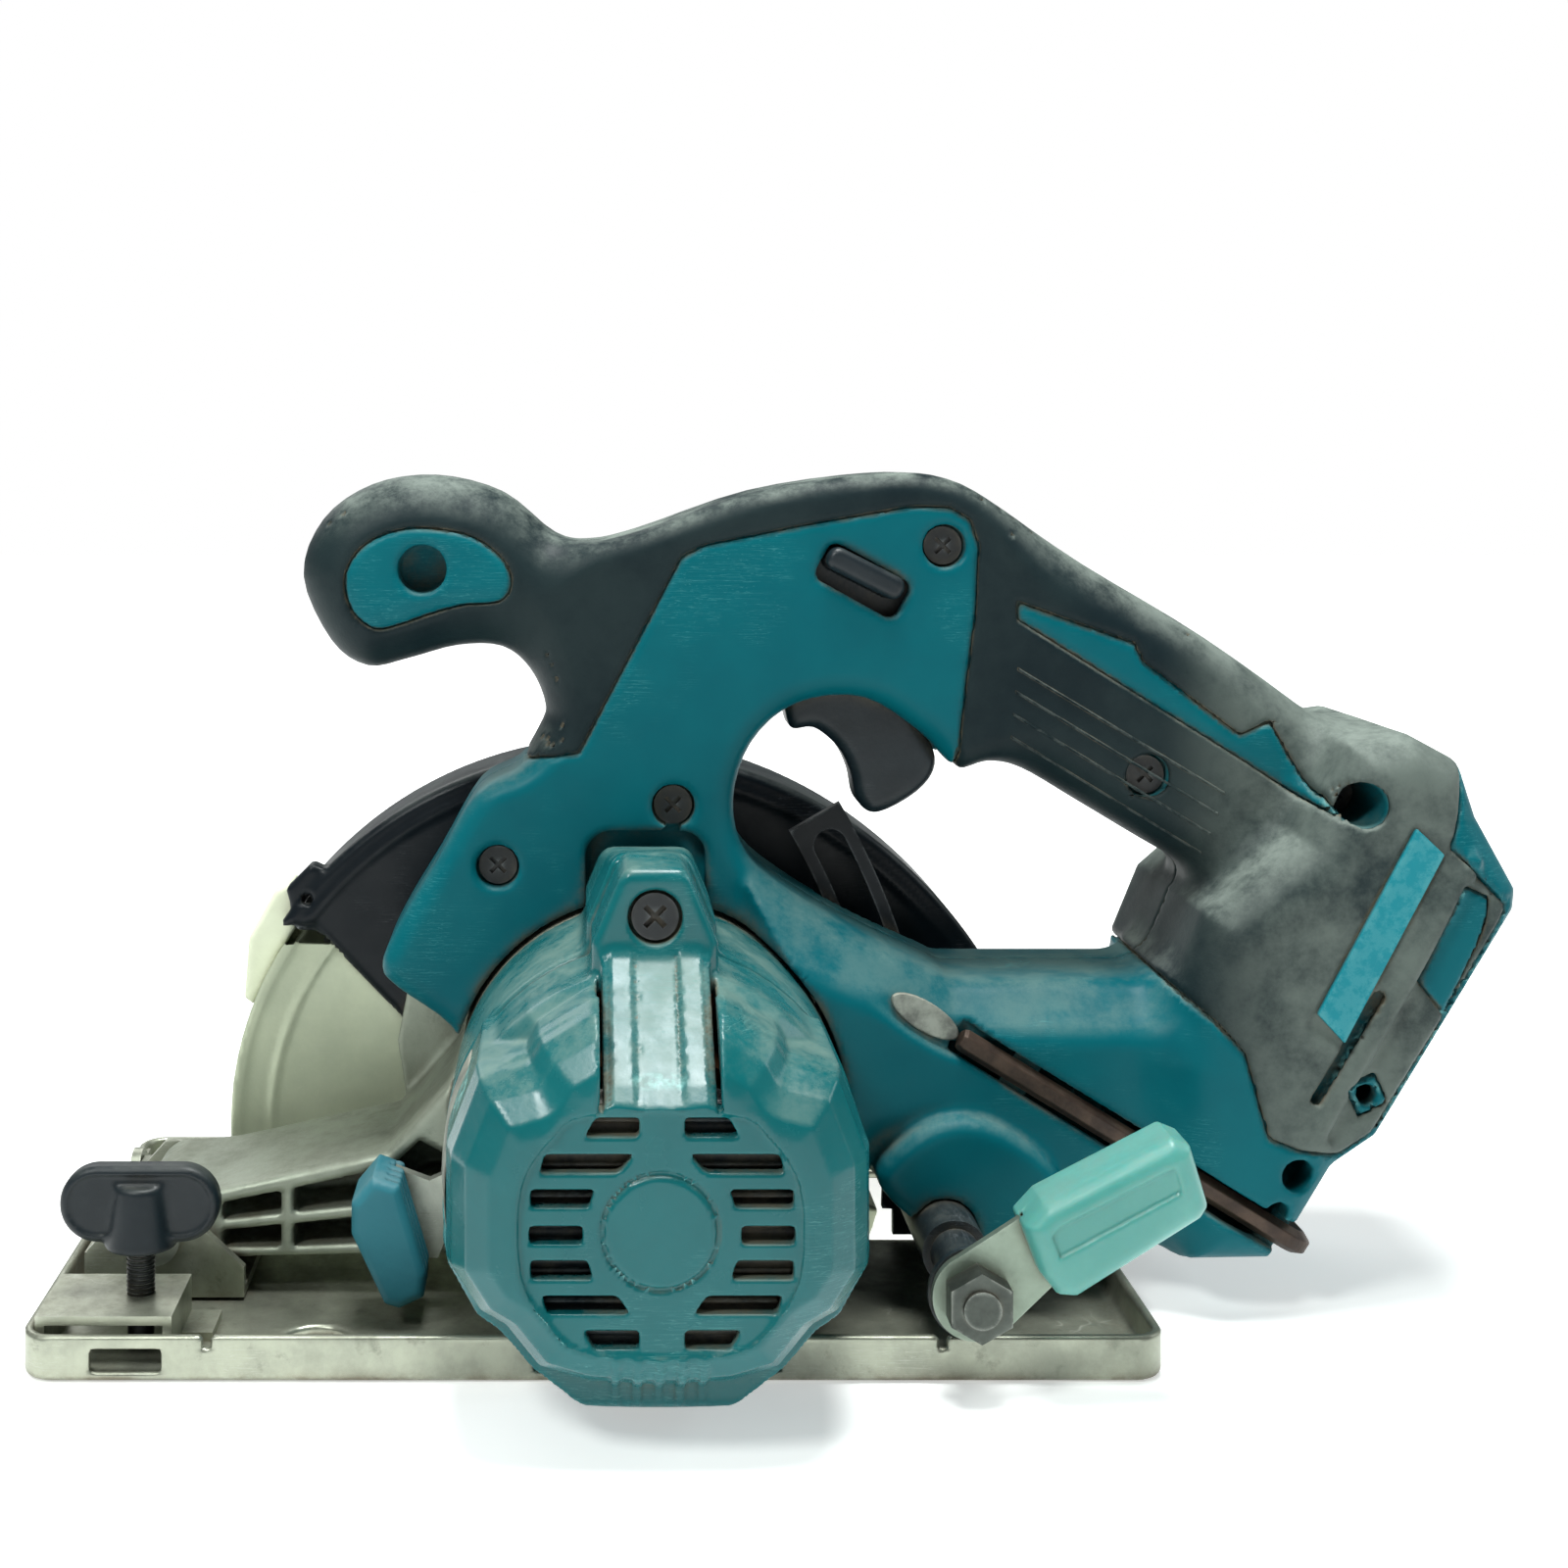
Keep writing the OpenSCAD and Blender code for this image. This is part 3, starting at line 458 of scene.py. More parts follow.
TEAL = (0.0005, 0.084, 0.106)
# The dust amount of each material also sets the strength of its painted top light and painted crease shade.
MATERIALS = {
    "teal_plastic": look(TEAL, (0.001, 0.098, 0.12), 0.36, grain=0.02, dust=0.7, edge=0.6,
        soil=(0.17, 0.25, 0.22), rubbed=(0.14, 0.36, 0.36), scratch=0.35, scored=(0.07, 0.30, 0.31),
        shine=0.08, crease=7),
    "teal_gloss": look((0.001, 0.084, 0.092), (0.002, 0.100, 0.108), 0.24, grain=0.02, dust=0.8, edge=0.8,
        soil=(0.18, 0.25, 0.21), rubbed=(0.16, 0.42, 0.41), scratch=0.4, scored=(0.12, 0.34, 0.33),
        shine=0.3, crease=6),
    "dark_rubber": look((0.004, 0.011, 0.014), (0.011, 0.021, 0.023), 0.5, grain=0.06, shine=0.12,
        fine=1400, dust=1, soil=(0.24, 0.28, 0.25), edge=0.3, rubbed=(0.12, 0.14, 0.13),
        pale_from=0.135),
    "black_plastic": look((0.004, 0.008, 0.011), (0.010, 0.016, 0.020), 0.4, shine=0.3, grain=0.04,
        dust=0.5, soil=(0.10, 0.11, 0.10), edge=0.45, rubbed=(0.13, 0.15, 0.16), scratch=0.3,
        scored=(0.16, 0.18, 0.2)),
    "guard_black": look((0.003, 0.006, 0.009), (0.005, 0.008, 0.011), 0.34, shine=0.18, dust=0.45,
        soil=(0.11, 0.13, 0.12), edge=0.8, rubbed=(0.22, 0.24, 0.25), scratch=0.35,
        scored=(0.12, 0.13, 0.14), grain=0.02),
    "cast_aluminium": look((0.29, 0.32, 0.26), (0.21, 0.235, 0.185), 0.48, metallic=0.6, grain=0.10,
        fine=700, dust=0.7, soil=(0.11, 0.105, 0.08), edge=0.5, rubbed=(0.66, 0.70, 0.63), stain=0.4,
        crease=9),
    "guard_aluminium": look((0.52, 0.57, 0.42), (0.42, 0.465, 0.345), 0.46, metallic=0.45, grain=0.04,
        dust=0.55, soil=(0.22, 0.23, 0.17), scratch=0.35, scored=(0.55, 0.58, 0.48)),
    "lip_cream": look((0.74, 0.79, 0.60), (0.64, 0.68, 0.51), 0.55, grain=0.05, dust=0.4, edge=0.3),
    "nickel_sheet": look((0.38, 0.40, 0.32), (0.25, 0.265, 0.215), 0.36, metallic=0.8, grain=0.03,
        dust=0.65, soil=(0.11, 0.105, 0.08), edge=0.7, rubbed=(0.62, 0.63, 0.54), scratch=0.45,
        scored=(0.55, 0.56, 0.5), stain=0.7, crease=8, mottle=55),
    "zinc_steel": look((0.42, 0.45, 0.39), (0.28, 0.30, 0.26), 0.42, metallic=0.9, grain=0.05, dust=0.6,
        soil=(0.09, 0.085, 0.07), edge=0.5, rubbed=(0.7, 0.72, 0.66), stain=0.7, scratch=0.3,
        scored=(0.6, 0.6, 0.56)),
    "black_steel": look((0.010, 0.012, 0.013), (0.022, 0.024, 0.024), 0.38, metallic=0.6, grain=0.03,
        dust=0.4, soil=(0.10, 0.10, 0.09), edge=0.6, rubbed=(0.32, 0.34, 0.33)),
    "tool_steel": look((0.030, 0.020, 0.016), (0.070, 0.045, 0.032), 0.5, metallic=0.6, grain=0.14,
        fine=500, dust=0.5, soil=(0.13, 0.10, 0.075), edge=0.7, rubbed=(0.25, 0.21, 0.17), stain=0.5,
        mottle=120),
    "blade_steel": look((0.55, 0.56, 0.56), (0.44, 0.45, 0.45), 0.3, metallic=1, grain=0.02, dust=0.2,
        scratch=0.4),
    "lever_grip": look((0.055, 0.255, 0.225), (0.085, 0.31, 0.275), 0.36, grain=0.03, dust=0.6,
        soil=(0.16, 0.24, 0.20), sub=0.3, coat=0.15, edge=0.3, rubbed=(0.35, 0.6, 0.54)),
    "pad_blue": look((0.012, 0.10, 0.135), (0.020, 0.14, 0.175), 0.5, shine=0.25, grain=0.04, dust=0.45,
        edge=0.5, soil=(0.2, 0.28, 0.28), rubbed=(0.2, 0.45, 0.5)),
    "copper": look((0.35, 0.13, 0.05), (0.25, 0.09, 0.035), 0.35, metallic=0.9, dust=0.2),
    "iron": look((0.13, 0.13, 0.14), (0.09, 0.09, 0.095), 0.5, metallic=0.8, grain=0.1, dust=0.2),
    "board_green": look((0.01, 0.11, 0.04), (0.01, 0.085, 0.03), 0.35, coat=0.4, dust=0.2),
    "screw_black": look((0.004, 0.006, 0.008), (0.010, 0.013, 0.015), 0.42, shine=0.35, dust=0.5,
        soil=(0.09, 0.09, 0.08), edge=0.5, rubbed=(0.14, 0.15, 0.15)),
    "worn_steel": look((0.11, 0.125, 0.11), (0.035, 0.04, 0.036), 0.4, metallic=0.8, grain=0.05, dust=0.7,
        soil=(0.05, 0.05, 0.04), edge=0.7, rubbed=(0.42, 0.44, 0.40), stain=0.8),
    "arm_steel": look((0.25, 0.31, 0.25), (0.16, 0.20, 0.16), 0.42, metallic=0.7, grain=0.05, dust=0.6,
        soil=(0.08, 0.08, 0.06), edge=0.5, rubbed=(0.5, 0.55, 0.48), stain=0.6),
    "lamp_clear": look((0.75, 0.75, 0.72), (0.68, 0.68, 0.66), 0.12, coat=0.6, dust=0.2),
    "label_grey": look((0.26, 0.28, 0.24), (0.08, 0.085, 0.075), 0.5, metallic=0.3, grain=0.05, dust=0.5,
        mottle=140, scratch=0.8, scored=(0.5, 0.52, 0.47), stain=0.8),
    "plate_teal": look((0.001, 0.17, 0.215), (0.001, 0.185, 0.23), 0.38, shine=0.2, dust=0.2, edge=0.3,
        rubbed=(0.15, 0.4, 0.4), scratch=0.2, scored=(0.1, 0.36, 0.38)),
}
_made = {}


def paint(piece, name):
    """Gives piece the named material, which is made the first time that it is asked for."""
    if name not in _made:
        _made[name] = worn(name, **MATERIALS[name])
    piece.data.materials.clear()
    piece.data.materials.append(_made[name])


# ---- Housing: two shells with a rubber overmould ----

HORN = Outline(curve_points([
    (-71, 172), (-66, 186), (-54, 194.5), (-38.6, 196.8), (-22, 192.6), (-9, 182.4), (0, 180.6), (12, 183.3),
    (40, 192.8), (70, 197.2), (86, 196), (100, 188.6), (121, 174.7), (150, 157.2), (178, 137), (190, 126),
    (186, 112), (172, 99), (158, 95.6), (140, 104.6), (120, 116.4), (105, 125.2), (96, 127.4), (88, 126),
    (80, 134), (66, 142.7), (50, 141.4), (39, 132), (34.6, 118), (38, 105), (50, 95), (66, 85), (86, 72),
    (84, 52), (60, 34), (20, 26), (-24, 48), (-34, 63), (-47, 72.5), (-51, 78), (-47, 88), (-38, 103),
    (-28, 120), (-18, 126), (-13, 133.6), (-11.2, 140), (-15, 149), (-22, 154.6), (-33, 154.8),
    (-45, 151.6), (-55, 149.8), (-64, 156)]), margin=20)
BOOM = Outline([
    (38, 98), (50, 91), (86, 76.5), (140, 76.5), (153, 62), (163, 36), (158.5, 13.5), (131, 12.8),
    (118, 18), (97, 27), (92, 33.5), (82, 36), (72, 33.5), (60, 28), (50, 40), (36, 60)], margin=20)
FOOT = Outline([
    (178, 134), (192, 136), (204, 129.5), (208, 117), (217.3, 100), (216.8, 95), (184.3, 41.6), (174, 34.6),
    (164.5, 19), (158.9, 12.9), (140, 12.6), (135, 30), (134, 60), (137, 77), (144, 94), (152, 101),
    (166, 112)], margin=20)
RUBBER = Outline([
    (-80, 205), (120, 205), (206, 140), (201, 118), (198.8, 110.5), (202.8, 106.6), (212.4, 97),
    (211.2, 93.4), (197.9, 70), (181.2, 43.4), (173.5, 38.8), (163.5, 40.6), (156.5, 43.4), (151, 63),
    (144, 70.6), (136, 77), (130, 82), (100, 116), (88, 122), (88, 128.4), (90, 146.4), (92.4, 165),
    (93, 180), (91, 186), (86, 189), (77, 189.2), (51, 184.7), (27, 179.8), (21.8, 177.2), (-2.9, 130),
    (-17, 127.5), (-24, 140), (-80, 140)])
PANEL = Outline([
    (201.7, 101.9), (208.1, 98.8), (207.4, 93.1), (205.8, 88.6), (197.9, 71.6), (191.8, 79.5)], margin=6)
LOW_AREA = Outline([
    (203.4, 105.6), (211.8, 97), (210.6, 93.6), (197.3, 70.2), (180.8, 44), (173.6, 39.4), (168.6, 45)],
    margin=6)
RIDGE_START = np.array((203.6, 107.2))
RIDGE_RUN = np.array((168.4, 46.4)) - RIDGE_START
KIDNEY = Outline(curve_points([
    (-59.4, 171.4), (-56.6, 178), (-50.7, 182.2), (-41.5, 184.1), (-29.4, 182.2), (-21.7, 176.8),
    (-19.3, 171), (-22, 166.6), (-30.6, 165.7), (-37.9, 163.8), (-47.6, 160.5), (-52.5, 160),
    (-57.5, 164)]), margin=8)
STRIPE = Outline([
    (102.6, 166.2), (130.4, 156.3), (132.6, 151.8), (155.9, 134.3), (163.2, 137.6), (174.5, 116.7),
    (155.9, 128.9), (102.6, 162.2)], margin=8)
LOBE = Outline(curve_points([
    (66, 34), (78, 46), (92, 47), (106, 38), (112, 26), (108, 17), (97, 12.5), (86, 14), (76, 22)]),
    margin=10)
HORN_FAR = Outline([(-62, 20), (-62, 104), (20, 118), (104, 80), (104, 20)], margin=20)
SCREWS = [(84.9, 179.8), (19.7, 117.2), (-22.6, 102.6), (133.8, 124.5), (179.3, 120.3)]
HORN_HOLE = (-40.8, 174.2)
EYE = (179.8, 53.1)


def ramp(v, low, high):
    """A smooth step from 0 at low to 1 at high."""
    t = np.clip((v - low) / (high - low), 0, 1)
    return t * t * (3 - 2 * t)


def housing(x, y, z):
    """The outer surface of the whole housing."""
    r = 5.5 + 9.5 * (1 - ramp(x, -14, 4)) * ramp(z, 118, 140) + 7.5 * ramp(x, 92, 112)
    grip = slab(HORN(x, z), y, -GRIP_HALF - 1, GRIP_HALF, r)
    boom = chamfered(BOOM(x, z), y, -34, 24, 11, 2.5)
    foot = chamfered(FOOT(x, z), y, -FOOT_HALF, FOOT_HALF, 7, 3.5)
    foot = smax(foot, -all_of(LOW_AREA(x, z), FOOT_HALF - 2 - abs(y)), 1)
    u, w = x - RIDGE_START[0], z - RIDGE_START[1]
    t = np.clip((u * RIDGE_RUN[0] + w * RIDGE_RUN[1]) / (RIDGE_RUN @ RIDGE_RUN), 0, 1)
    crest = np.hypot(u - t * RIDGE_RUN[0], w - t * RIDGE_RUN[1])
    foot = smin(foot, np.hypot(crest, abs(y) - FOOT_HALF + 1.6) - 2.7, 1.5)
    lobe = slab(LOBE(x, z), y, -39.5, -20, 4)
    body = smin(smin(grip, smin(boom, lobe, 3), 5), foot, 9)
    motor = motor_rod(x, y, z, MOTOR_R + 0.6, -60, 60)
    gears = blade_rod(x, y, z, 31.6, -60, 60)
    lug = slab(box2(x, z, MOTOR_X, 84, 14.2, 27, 6), y, -60, -12)
    body = smax(body, -any_of(motor, gears, lug), 1.2)
    from_pivot = np.hypot(x - PIVOT_X, z - PIVOT_Z)
    guide_r = math.hypot(BOLT_X - PIVOT_X, BOLT_Z - PIVOT_Z)
    channel = all_of(abs(from_pivot - guide_r) - 8.6, abs(y - 13.8) - 3.4,
                     (z - PIVOT_Z) - 0.82 * (x - PIVOT_X))
    far = all_of(HORN_FAR(x, z), GUARD_GAP_Y - y)
    hinge = all_of(abs(x - 110) - 16, 17.3 - y, z - 54)
    slot = all_of(abs(x - QUADRANT_X) - 3.4, np.hypot(y - BEVEL_Y, z - BEVEL_Z) - 45)
    return all_of(body, -any_of(channel, far, hinge, slot))


def rubber_zone(x, z):
    """Negative where rubber shows."""
    u, w = x - EYE[0], z - EYE[1]
    diamond = (abs(u - 0.35 * w) + abs(w + 0.35 * u) - 5.6) * 0.7
    teal = any_of(KIDNEY(x, z), STRIPE(x, z), PANEL(x, z), diamond)
    return np.maximum(RUBBER(x, z), -teal)


def ways(x, y, z):
    """Holes: trigger, lock-off slot, screws, sleeve, wrench seat, and those of the horn and the foot."""
    cuts = [slab(box2(x, z, 66, 138, 22, 20.5, 2), y, -8.4, 8.4),
            slab(box2(x, z, 65.3, 171.4, 11.2, 5, 2.4, -29), y, -40, 40)]
    cuts += [rod(x, y, z, *screw, 5.2, OUT_Y, -14) for screw in SCREWS]
    cuts += [rod(x, y, z, *HORN_HOLE, 5.9, OUT_Y, -9), rod(x, y, z, BOLT_X, BOLT_Z, 7.7, OUT_Y, 60)]
    return any_of(*cuts, foot_holes(x, y, z), wrench_seat(x, y, z))


WRENCH_START = np.array((86.3, -32.2, 64.9))
WRENCH_TURN = math.radians(31.4)
WRENCH_ALONG = np.array((math.cos(WRENCH_TURN), 0, -math.sin(WRENCH_TURN)))


def from_wrench(x, z):
    """Places along and across the hex wrench, from its upper end."""
    dx, dz = x - WRENCH_START[0], z - WRENCH_START[2]
    along_x, _, along_z = WRENCH_ALONG
    return dx * along_x + dz * along_z, dz * along_x - dx * along_z


def wrench_seat(x, y, z):
    """A channel across the boom's near face, with a leaf-shaped scoop at its upper end."""
    u, w = from_wrench(x, z)
    channel = all_of(abs(w) - 4, -u - 1, y + 28.8, u - 118)
    scoop = np.sqrt(((u + 8) / 17) ** 2 + (w / 5.2) ** 2 + ((y + 34) / 4) ** 2)
    return np.minimum(channel, (scoop - 1) * 4)


def label_seat(x, y, z):
    """The label's recess on the battery foot's near face."""
    return slab(box2(x, z, 182.1, 90.6, 27.2, 5.2, 1.5, 62), y, OUT_Y, -39.1)


def foot_holes(x, y, z):
    """The deep slot and the round holes in the battery foot's near face."""
    groove = slab(box2(x, z, 174.8, 64.4, 15.2, 1.3, 0.9, 58.5), y, OUT_Y, -35.2)
    eye = rod(x, y, z, *EYE, 2.4, OUT_Y, -31)
    upper, lower = rod(x, y, z, 163.5, 34.6, 3.9, OUT_Y, -20), rod(x, y, z, 158.8, 25.7, 2.9, OUT_Y, -20)
    return any_of(groove, eye, upper, lower)


HALF_GAP = 0.02


def half(body, y, side):
    """The part of the housing on one side of its middle seam."""
    return all_of(body, y + HALF_GAP if side < 0 else HALF_GAP - y)


def shell_field(side):
    """The distance field of one shell, with room for its rubber."""
    def field(x, y, z):
        outer = housing(x, y, z)
        zone = rubber_zone(x, z)
        skin = np.maximum(outer + 0.25, 0.2 - zone)
        skin = smax(skin, -label_seat(x, y, z), 0.8) if side < 0 else skin
        body = np.minimum(skin, outer + SKIN + 0.1)
        body = all_of(body, -all_of(outer + 5.2, -pillars(x, z)))
        body = smax(body, -ways(x, y, z), 0.9)
        return half(body, y, side)
    return field


def pillars(x, z):
    """Round posts that stay solid about the screws and the horn's hole."""
    posts = [np.hypot(x - sx, z - sz) - 7.6 for sx, sz in SCREWS]
    posts.append(np.hypot(x - HORN_HOLE[0], z - HORN_HOLE[1]) - 8.5)
    return any_of(*posts)


def overmould_field(side):
    """The distance field of one half of the rubber."""
    def field(x, y, z):
        outer = housing(x, y, z)
        body = smax(outer, rubber_zone(x, z) + 0.2, 1.3)
        body = smax(body, -label_seat(x, y, z), 0.8) if side < 0 else body
        body = all_of(body, -(outer + SKIN))
        body = smax(body, -ways(x, y, z), 0.9)
        return half(body, y, side)
    return field


def build_housing():
    for side, word in ((-1, "left"), (1, "right")):
        y0, y1 = (-FOOT_HALF, 0) if side < 0 else (0, FOOT_HALF)
        for kind, make, low, high in (("shell", shell_field, (-70, y0, 12), (217, y1, 196)),
                                      ("overmould", overmould_field, (-71, y0, 34), (212, y1, 197))):
            carve_for(f"{kind}_{word}", make(side), low, high, 1.18 if side < 0 else 1.25)


# ---- Motor ----


LUG_Z = 104
SEAM_Y = -62


def around_motor(points):
    """A left half outline (u, w) about the motor axis, mirrored and set in place as (x, z)."""
    right = [(-u, w) for u, w in reversed(points)]
    return [(MOTOR_X + u, MOTOR_Z + w) for u, w in points + right]


CAP_TOP = [(-45.5 * math.sin(a), 45.5 * math.cos(a)) for a in np.radians(np.arange(4, 80, 8))]
CAP_LOW = [(-45.5, -12), (-39, -23.5), (-34, -27), (-27.5, -34.5), (-16, -43.4), (-3, -45.2)]
CAP_OUT = Outline(around_motor(CAP_TOP + CAP_LOW))
SHOULDER = [(-13.7, 41.9), (-24.4, 35.4), (-26.7, 31.4), (-37, 28.8)]
COLLAR_LOW = [(-43.3, 12.4), (-43.3, -10.2), (-36.9, -20), (-31.7, -23), (-24.9, -31.3), (-15, -34.3),
              (-3, -35.2)]
COLLAR = Outline(around_motor([(-3, 42)] + SHOULDER + COLLAR_LOW))
BELOW = Outline(around_motor([(-12.5, 24)] + SHOULDER + [(-60, 25), (-60, -58), (-3, -58)]))
FACE_HALF = [(-14, 23.2), (-21.5, 18.6), (-27, 10.5), (-28.2, 0), (-27, -10.5), (-22, -18), (-13.5, -24)]
FACE = Outline(curve_points(around_motor(FACE_HALF)))
# Height above the motor axis, near and far end of each pair of slots, and how far each end leans
SLOTS = [
    (20.6, 4.5, 14.2, 0, -0.6), (13.4, 7, 23.7, -0.9, -0.3), (6.5, 13.9, 26, -0.3, 0),
    (-0.7, 15.7, 26.3, 0, 0), (-7.6, 14.2, 26, 0.3, 0), (-14.5, 7.6, 23.3, 0.75, 0.3),
    (-21.4, 4.5, 14.6, 0, 0.6)]


def band_height(y):
    """Height above the motor axis of the raised band along the cap's top."""
    return np.interp(y, [CAP_Y + 0.5, CAP_Y + 2, CAP_Y + 4.5, -84, -62], [23.4, 24.8, 27.2, 47.6, 47.6])


def lug_sides(u, z, narrow, wide):
    """The sides of the screw lug, which widens downwards."""
    return abs(u) - np.minimum(narrow + 0.42 * np.maximum(0, LUG_Z + 9 - z), wide)


def motor_shape(x, y, z):
    """Faceted cone above the shoulders, and a full collar round the face below them."""
    u, w = x - MOTOR_X, z - MOTOR_Z
    sides = [abs(u) * math.cos(a) + abs(w) * math.sin(a) for a in np.radians((14, 42, 66, 84))]
    cone_r = np.interp(y, [CAP_Y, CAP_Y + 4, -84, -62], [24, 27, 45.6, 46.2])
    cone = (np.maximum.reduce(sides) - cone_r) * 0.8
    top = smax(cone, CAP_OUT(x, z) + 0.2, 1.2)
    rear = CAP_OUT(x, z) + np.interp(y, [-104, -84, -62], [3.4, 0.7, 0.2])
    rear = smax(np.maximum(rear, -100 - y), BELOW(x, z), 1)
    inset = np.interp(y, [CAP_Y, CAP_Y + 1, CAP_Y + 5, CAP_Y + 11, CAP_Y + 18], [13, 9.6, 4.6, 1.3, 0])
    collar = (COLLAR(x, z) + inset) * 0.86
    collar = np.maximum(collar, -all_of(abs(u) - 12, 23.5 - w))
    body = smin(np.minimum(top, rear), np.maximum(collar, y - SEAM_Y), 0.8)
    return smax(body, CAP_Y + 0.2 - y, 1.2)


def end_cap(x, y, z):
    """The motor's cap with its band, screw lug, ribs and vent slots."""
    u, w = x - MOTOR_X, z - MOTOR_Z
    body = motor_shape(x, y, z)
    gully = all_of(abs(abs(u) - 11.9) - 0.55, 24 - w, w - band_height(y) - 1)
    body = smax(body, -gully, 0.3)
    raised = 0.9 * ((abs(u) > 4.4) & (abs(u) < 9.8)) - 0.7 * (abs(abs(u) - 4.5) < 0.45)
    band = all_of((w - band_height(y) - raised) * 0.72, abs(u) - 11.2, 8 - w, CAP_Y + 1.2 - y)
    body = smin(body, band, 0.5)
    lug = smax(slab(lug_sides(u, z, 7.2, 13.4), y, -84, -62, 2.2), z - LUG_Z - 10.3, 3)
    body = smin(body, np.maximum(lug, 76 - z), 2)
    ribs = all_of(abs((u + 2.2) % 4.4 - 2.2) - 0.9, abs(u) - 11.5, w + 25)
    body = any_of(body, np.maximum(motor_shape(x, y, z) - 0.7, ribs))
    body = smax(body, -all_of(FACE(x, z), y - CAP_Y - 1.5), 0.4)
    body = any_of(body, motor_rod(x, y, z, 11, CAP_Y + 1, CAP_Y + 4, 0.5))
    body = smax(body, -slab(abs(np.hypot(u, w) - 11.5) - 0.4, y, CAP_Y - 2, CAP_Y + 2.3), 0.3)
    body = all_of(body, -all_of(motor_shape(x, y, z) + 3.2, CAP_Y + 4.8 - y))
    for row, near, far, lean_in, lean_out in SLOTS:
        up, side = w - row, abs(u - 0.3)
        slot = smax(near + lean_in * up - side, side - far - lean_out * up, 0.6)
        slot = smax(slot, abs(up) - 1.8, 0.9)
        body = smax(body, -all_of(slot, y - CAP_Y - 12), 0.5)
    body = smax(body, -rod(x, y, z, MOTOR_X, LUG_Z, 5.8, -95, -79), 0.8)
    under = (-33.8 - 0.44 * (y - CAP_Y)) - w
    body = smax(body, under * 0.9, 1.5)
    return all_of(body, y + 62.1, 4.5 - z)


def baffle(x, y, z):
    """A dark grille plate behind the slots."""
    plate_in = motor_rod(x, y, z, 29, CAP_Y + 6.5, CAP_Y + 8.2)
    vanes = all_of(abs((z - MOTOR_Z + 1.5) % 3 - 1.5) - 0.5, motor_rod(x, y, z, 28, CAP_Y + 5, -106))
    body = np.minimum(plate_in, vanes)
    return all_of(body, -motor_rod(x, y, z, 12.2, -120, -60))


def barrel(x, y, z):
    """The motor housing behind the cap."""
    u, w = x - MOTOR_X, z - MOTOR_Z
    body = motor_rod(x, y, z, MOTOR_R - 0.1, -62, -20, 1.2)
    top = z - (LUG_Z + 9.6 - 0.14 * (y - SEAM_Y))
    lug = smax(slab(lug_sides(u, z, 8.2, 14.4), y, -62, -20.2, 1), top, 3)
    body = smin(body, np.maximum(lug, 76 - z), 3)
    return all_of(body, -motor_rod(x, y, z, MOTOR_R - 3, -70, -24), -motor_rod(x, y, z, 30, -70, 0),
                  -rod(x, y, z, MOTOR_X, LUG_Z, 2, -70, -30), 4.3 - z)


def curved_label():
    """A worn blank rating label on the front side of the motor."""
    turns, rows = 26, 16
    points, quads = [], []
    for i in range(turns + 1):
        a = math.radians(150 + 48 * i / turns)
        for j in range(rows + 1):
            y = -92 + 27 * j / rows
            r = float(np.interp(y, [CAP_Y, CAP_Y + 22, CAP_Y + 40, -62], [37, 43.8, 45.3, 45.6])) + 0.12
            points.append(((MOTOR_X + r * math.cos(a)) * MM, y * MM, (MOTOR_Z + r * math.sin(a)) * MM))
    for i in range(turns):
        for j in range(rows):
            k = i * (rows + 1) + j
            quads.append((k, k + 1, k + rows + 2, k + rows + 1))
    label = make_object("motor_label", points, quads)
    thick = label.modifiers.new("thick", "SOLIDIFY")
    thick.thickness = 0.0003
    thick.offset = 0
    return label


def build_motor():
    carve_for("motor_end_cap", end_cap, (-34, CAP_Y, 3), (60, -61, 116), 0.8, material="teal_gloss")
    carve_for("motor_housing", barrel, (-34, -62, 3), (60, -20, 115), 1.2, material="teal_gloss")
    grille = carve("vent_baffle", baffle, (-18, CAP_Y + 5, 18), (44, -105, 79), 0.8)
    add_to(grille, "motor_end_cap", "black_plastic")
    add_to(curved_label(), "motor_end_cap", "label_grey")


# ---- Castings and guards ----

ARM = Outline([
    (-103, 9), (-103, 25), (-90, 26.4), (-49, 35.3), (-44, 40), (-28, 58), (-10, 30), (-18, 11.8),
    (-60, 11)])
POCKETS = [Outline(points, margin=6) for points in (
    [(-88, 19.5), (-88, 23.6), (-74, 26.4), (-74, 21)], [(-71, 21.2), (-71, 27), (-50, 31.6), (-50, 23.4)],
    [(-88, 13), (-88, 17), (-74, 18.4), (-74, 13)], [(-71, 13.2), (-71, 18.6), (-50, 20.8), (-50, 14)],
    [(-47, 24), (-47, 32.6), (-41, 38.4), (-33, 34)])]
CASE = Outline([(-50, 50), (-42, 90), (10, 104), (56, 84), (60, 40), (20, 14), (-44, 14)])


